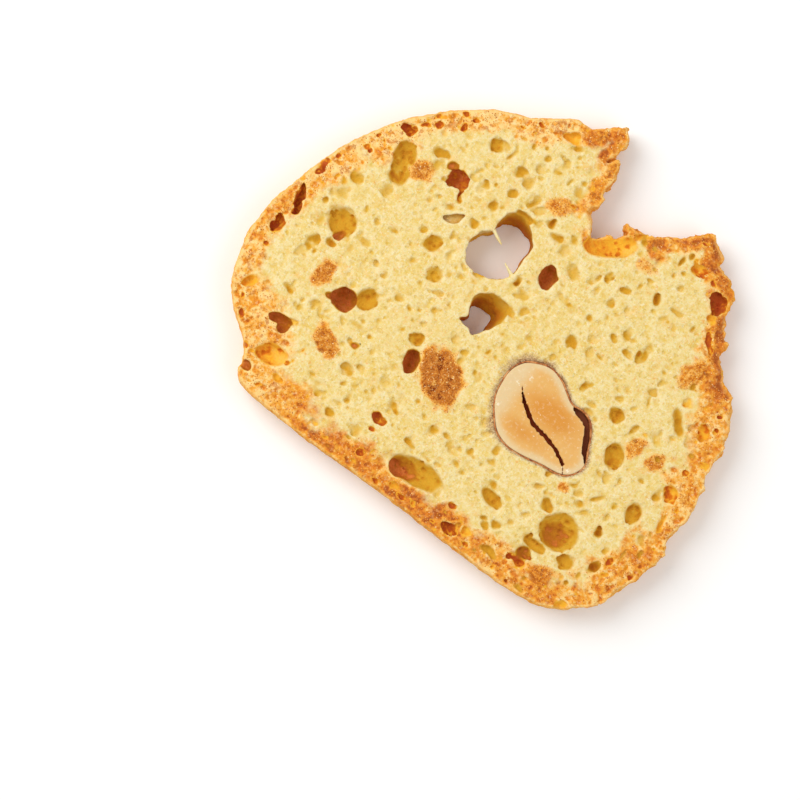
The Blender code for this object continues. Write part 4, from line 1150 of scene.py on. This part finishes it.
# the pale and white grains are partly painted glints
colour = shade.stops((0.1, "dark"), (0.42, "mid"), (0.7, "pale"), (0.95, "white"))
colour = (paint.kept("toast") * 0.8).over(colour, "toasted")
finishMaterial(shader, colour, 0.6 + 0.25 * spot.noise(0.5, 2), spot.noise(0.12, 2).bump(0.4, 0.04), 0.12)
grainMesh.materials.append(made)

almondLook = {
    "cream": (225, 196, 146), "pale": (240, 220, 182), "tan": (216, 146, 58),
    "warm": (226, 174, 98), "split": (142, 54, 16), "peeled": (112, 42, 14),
    "crumbs": (250, 238, 212),
}
made, shader, paint, spot = newMaterial("almond flesh", almondLook)
flesh, fleckle = spot.noise(2.6, 3), spot.noise(0.45, 3, 0.65)
body = (paint.kept("lobe") + 0.5 * (flesh - 0.5)).stops((0.1, "warm"), (0.75, "tan"))
colour = (paint.kept("rim") + 0.7 * (flesh - 0.5)).within(0.05, 1.00).over(body, "cream")
crumbly = paint.kept("crumbs") + 1.2 * (spot.noise(0.30, 2) - 0.5)
colour = mixed(
    colour,
    (fleckle.within(0.52, 0.72) * 0.35, "pale"),
    # a few white specks on the kernel, painted highlights
    (spot.noise(0.28, 1).within(0.70, 0.76) * 0.7, "pale"),
    (crumbly.within(0.50, 0.80) * 0.7, "crumbs"),
    # painted shade in the sunken gap and in the crack
    (paint.kept("peeled") * 0.95, "peeled"),
    (paint.kept("split") * 0.95, "split"),
)
roughness = 0.42 + 0.2 * flesh + 0.35 * paint.kept("peeled")
relief = fleckle * 0.7 + spot.noise(0.18, 2) * 0.3
finishMaterial(shader, colour, roughness, relief.bump(0.5, 0.06), 0.22, (0.12, 1.0, 0.6, 0.3))
kernel.data.materials.append(made)

peelLook = {"brown": (194, 116, 50), "dark": (142, 72, 30), "light": (216, 154, 92)}
made, shader, paint, spot = newMaterial("almond skin", peelLook)
colour = spot.noise(0.8, 3, 0.65).stops((0.36, "dark"), (0.50, "brown"), (0.64, "light"))
finishMaterial(shader, colour, 0.55 + 0.2 * spot.noise(0.5, 2), spot.noise(0.2, 2).bump(0.4, 0.04))
nutSkin.data.materials.append(made)
print("materials done")


# into the frame

toFrame = Matrix.Scale(mm, 4) @ Matrix.Translation((-middle[0], -middle[1], 0))
for piece, node, slotName in (
    (biscuit, "biscuit", "crumb"), (crustGrains, "biscuit", "crumb"),
    (kernel, "almond", "kernel"), (nutSkin, "almond_skin", "skin"),
):
    piece.data.transform(toFrame)
    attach(piece, "root")
    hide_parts(node)


# floor, light and camera

studio = {
    "floorSize": 1.2, "floor": tint(250, 249, 247), "sky": 0.60,
    "tilt": 3.5, "turn": 36.4, "lens": 100.0, "frameWidth": 95.55, "aim": (-4.79, -15.97),
    "keyWatts": 1.15, "keySize": 0.30, "fillWatts": 0.35, "fillSize": 0.30, "lampFar": 0.42,
    "sensor": 36,
}

side = studio["floorSize"] / 2
floorMesh = bpy.data.meshes.new("floor")
floorMesh.from_pydata([(-side, -side, 0), (side, -side, 0), (side, side, 0), (-side, side, 0)],
                      [], [(0, 1, 2, 3)])
floor = bpy.data.objects.new("floor", floorMesh)
bpy.context.scene.collection.objects.link(floor)
made, shader, paint, spot = newMaterial("pale floor")
shader.inputs["Base Color"].default_value = studio["floor"]
shader.inputs["Roughness"].default_value = 0.9
floorMesh.materials.append(made)

world = bpy.data.worlds.new("studio")
world.use_nodes = True
world.node_tree.nodes["Background"].inputs["Color"].default_value = (1, 1, 1, 1)
world.node_tree.nodes["Background"].inputs["Strength"].default_value = studio["sky"]
bpy.context.scene.world = world
bpy.context.scene.view_settings.view_transform = "Standard"

turn = math.radians(studio["turn"])
right = Vector((math.cos(turn), math.sin(turn), 0))
up = Vector((-math.sin(turn), math.cos(turn), 0))


def areaLight(name, direction, watts, size):
    # direction points from the middle of the floor to the lamp
    data = bpy.data.lights.new(name, "AREA")
    data.energy = watts
    data.size = size
    lamp = bpy.data.objects.new(name, data)
    bpy.context.scene.collection.objects.link(lamp)
    lamp.location = direction.normalized() * studio["lampFar"]
    lamp.rotation_euler = direction.to_track_quat("Z", "Y").to_euler()


areaLight("key", -right * 0.75 + up * 0.55 + Vector((0, 0, 1.0)), studio["keyWatts"], studio["keySize"])
areaLight("fill", right * 0.9 - up * 0.4 + Vector((0, 0, 1.2)), studio["fillWatts"], studio["fillSize"])

aim = Vector(((studio["aim"][0] - middle[0]) * mm, (studio["aim"][1] - middle[1]) * mm, thickness * mm))
far = studio["frameWidth"] * mm * studio["lens"] / studio["sensor"]
tilt = math.radians(studio["tilt"])
back = Vector((0, -math.sin(tilt), math.cos(tilt)))   # from the aim towards the camera
lensUp = (up - back * up.dot(back)).normalized()
lensRight = lensUp.cross(back)
camera = bpy.data.objects.new("camera", bpy.data.cameras.new("camera"))
camera.data.lens = studio["lens"]
camera.data.sensor_width = studio["sensor"]
camera.data.clip_start = 0.01
axes = Matrix((lensRight, lensUp, back)).transposed()
camera.matrix_world = Matrix.Translation(aim + back * far) @ axes.to_4x4()
bpy.context.scene.collection.objects.link(camera)
bpy.context.scene.camera = camera
print("studio done")
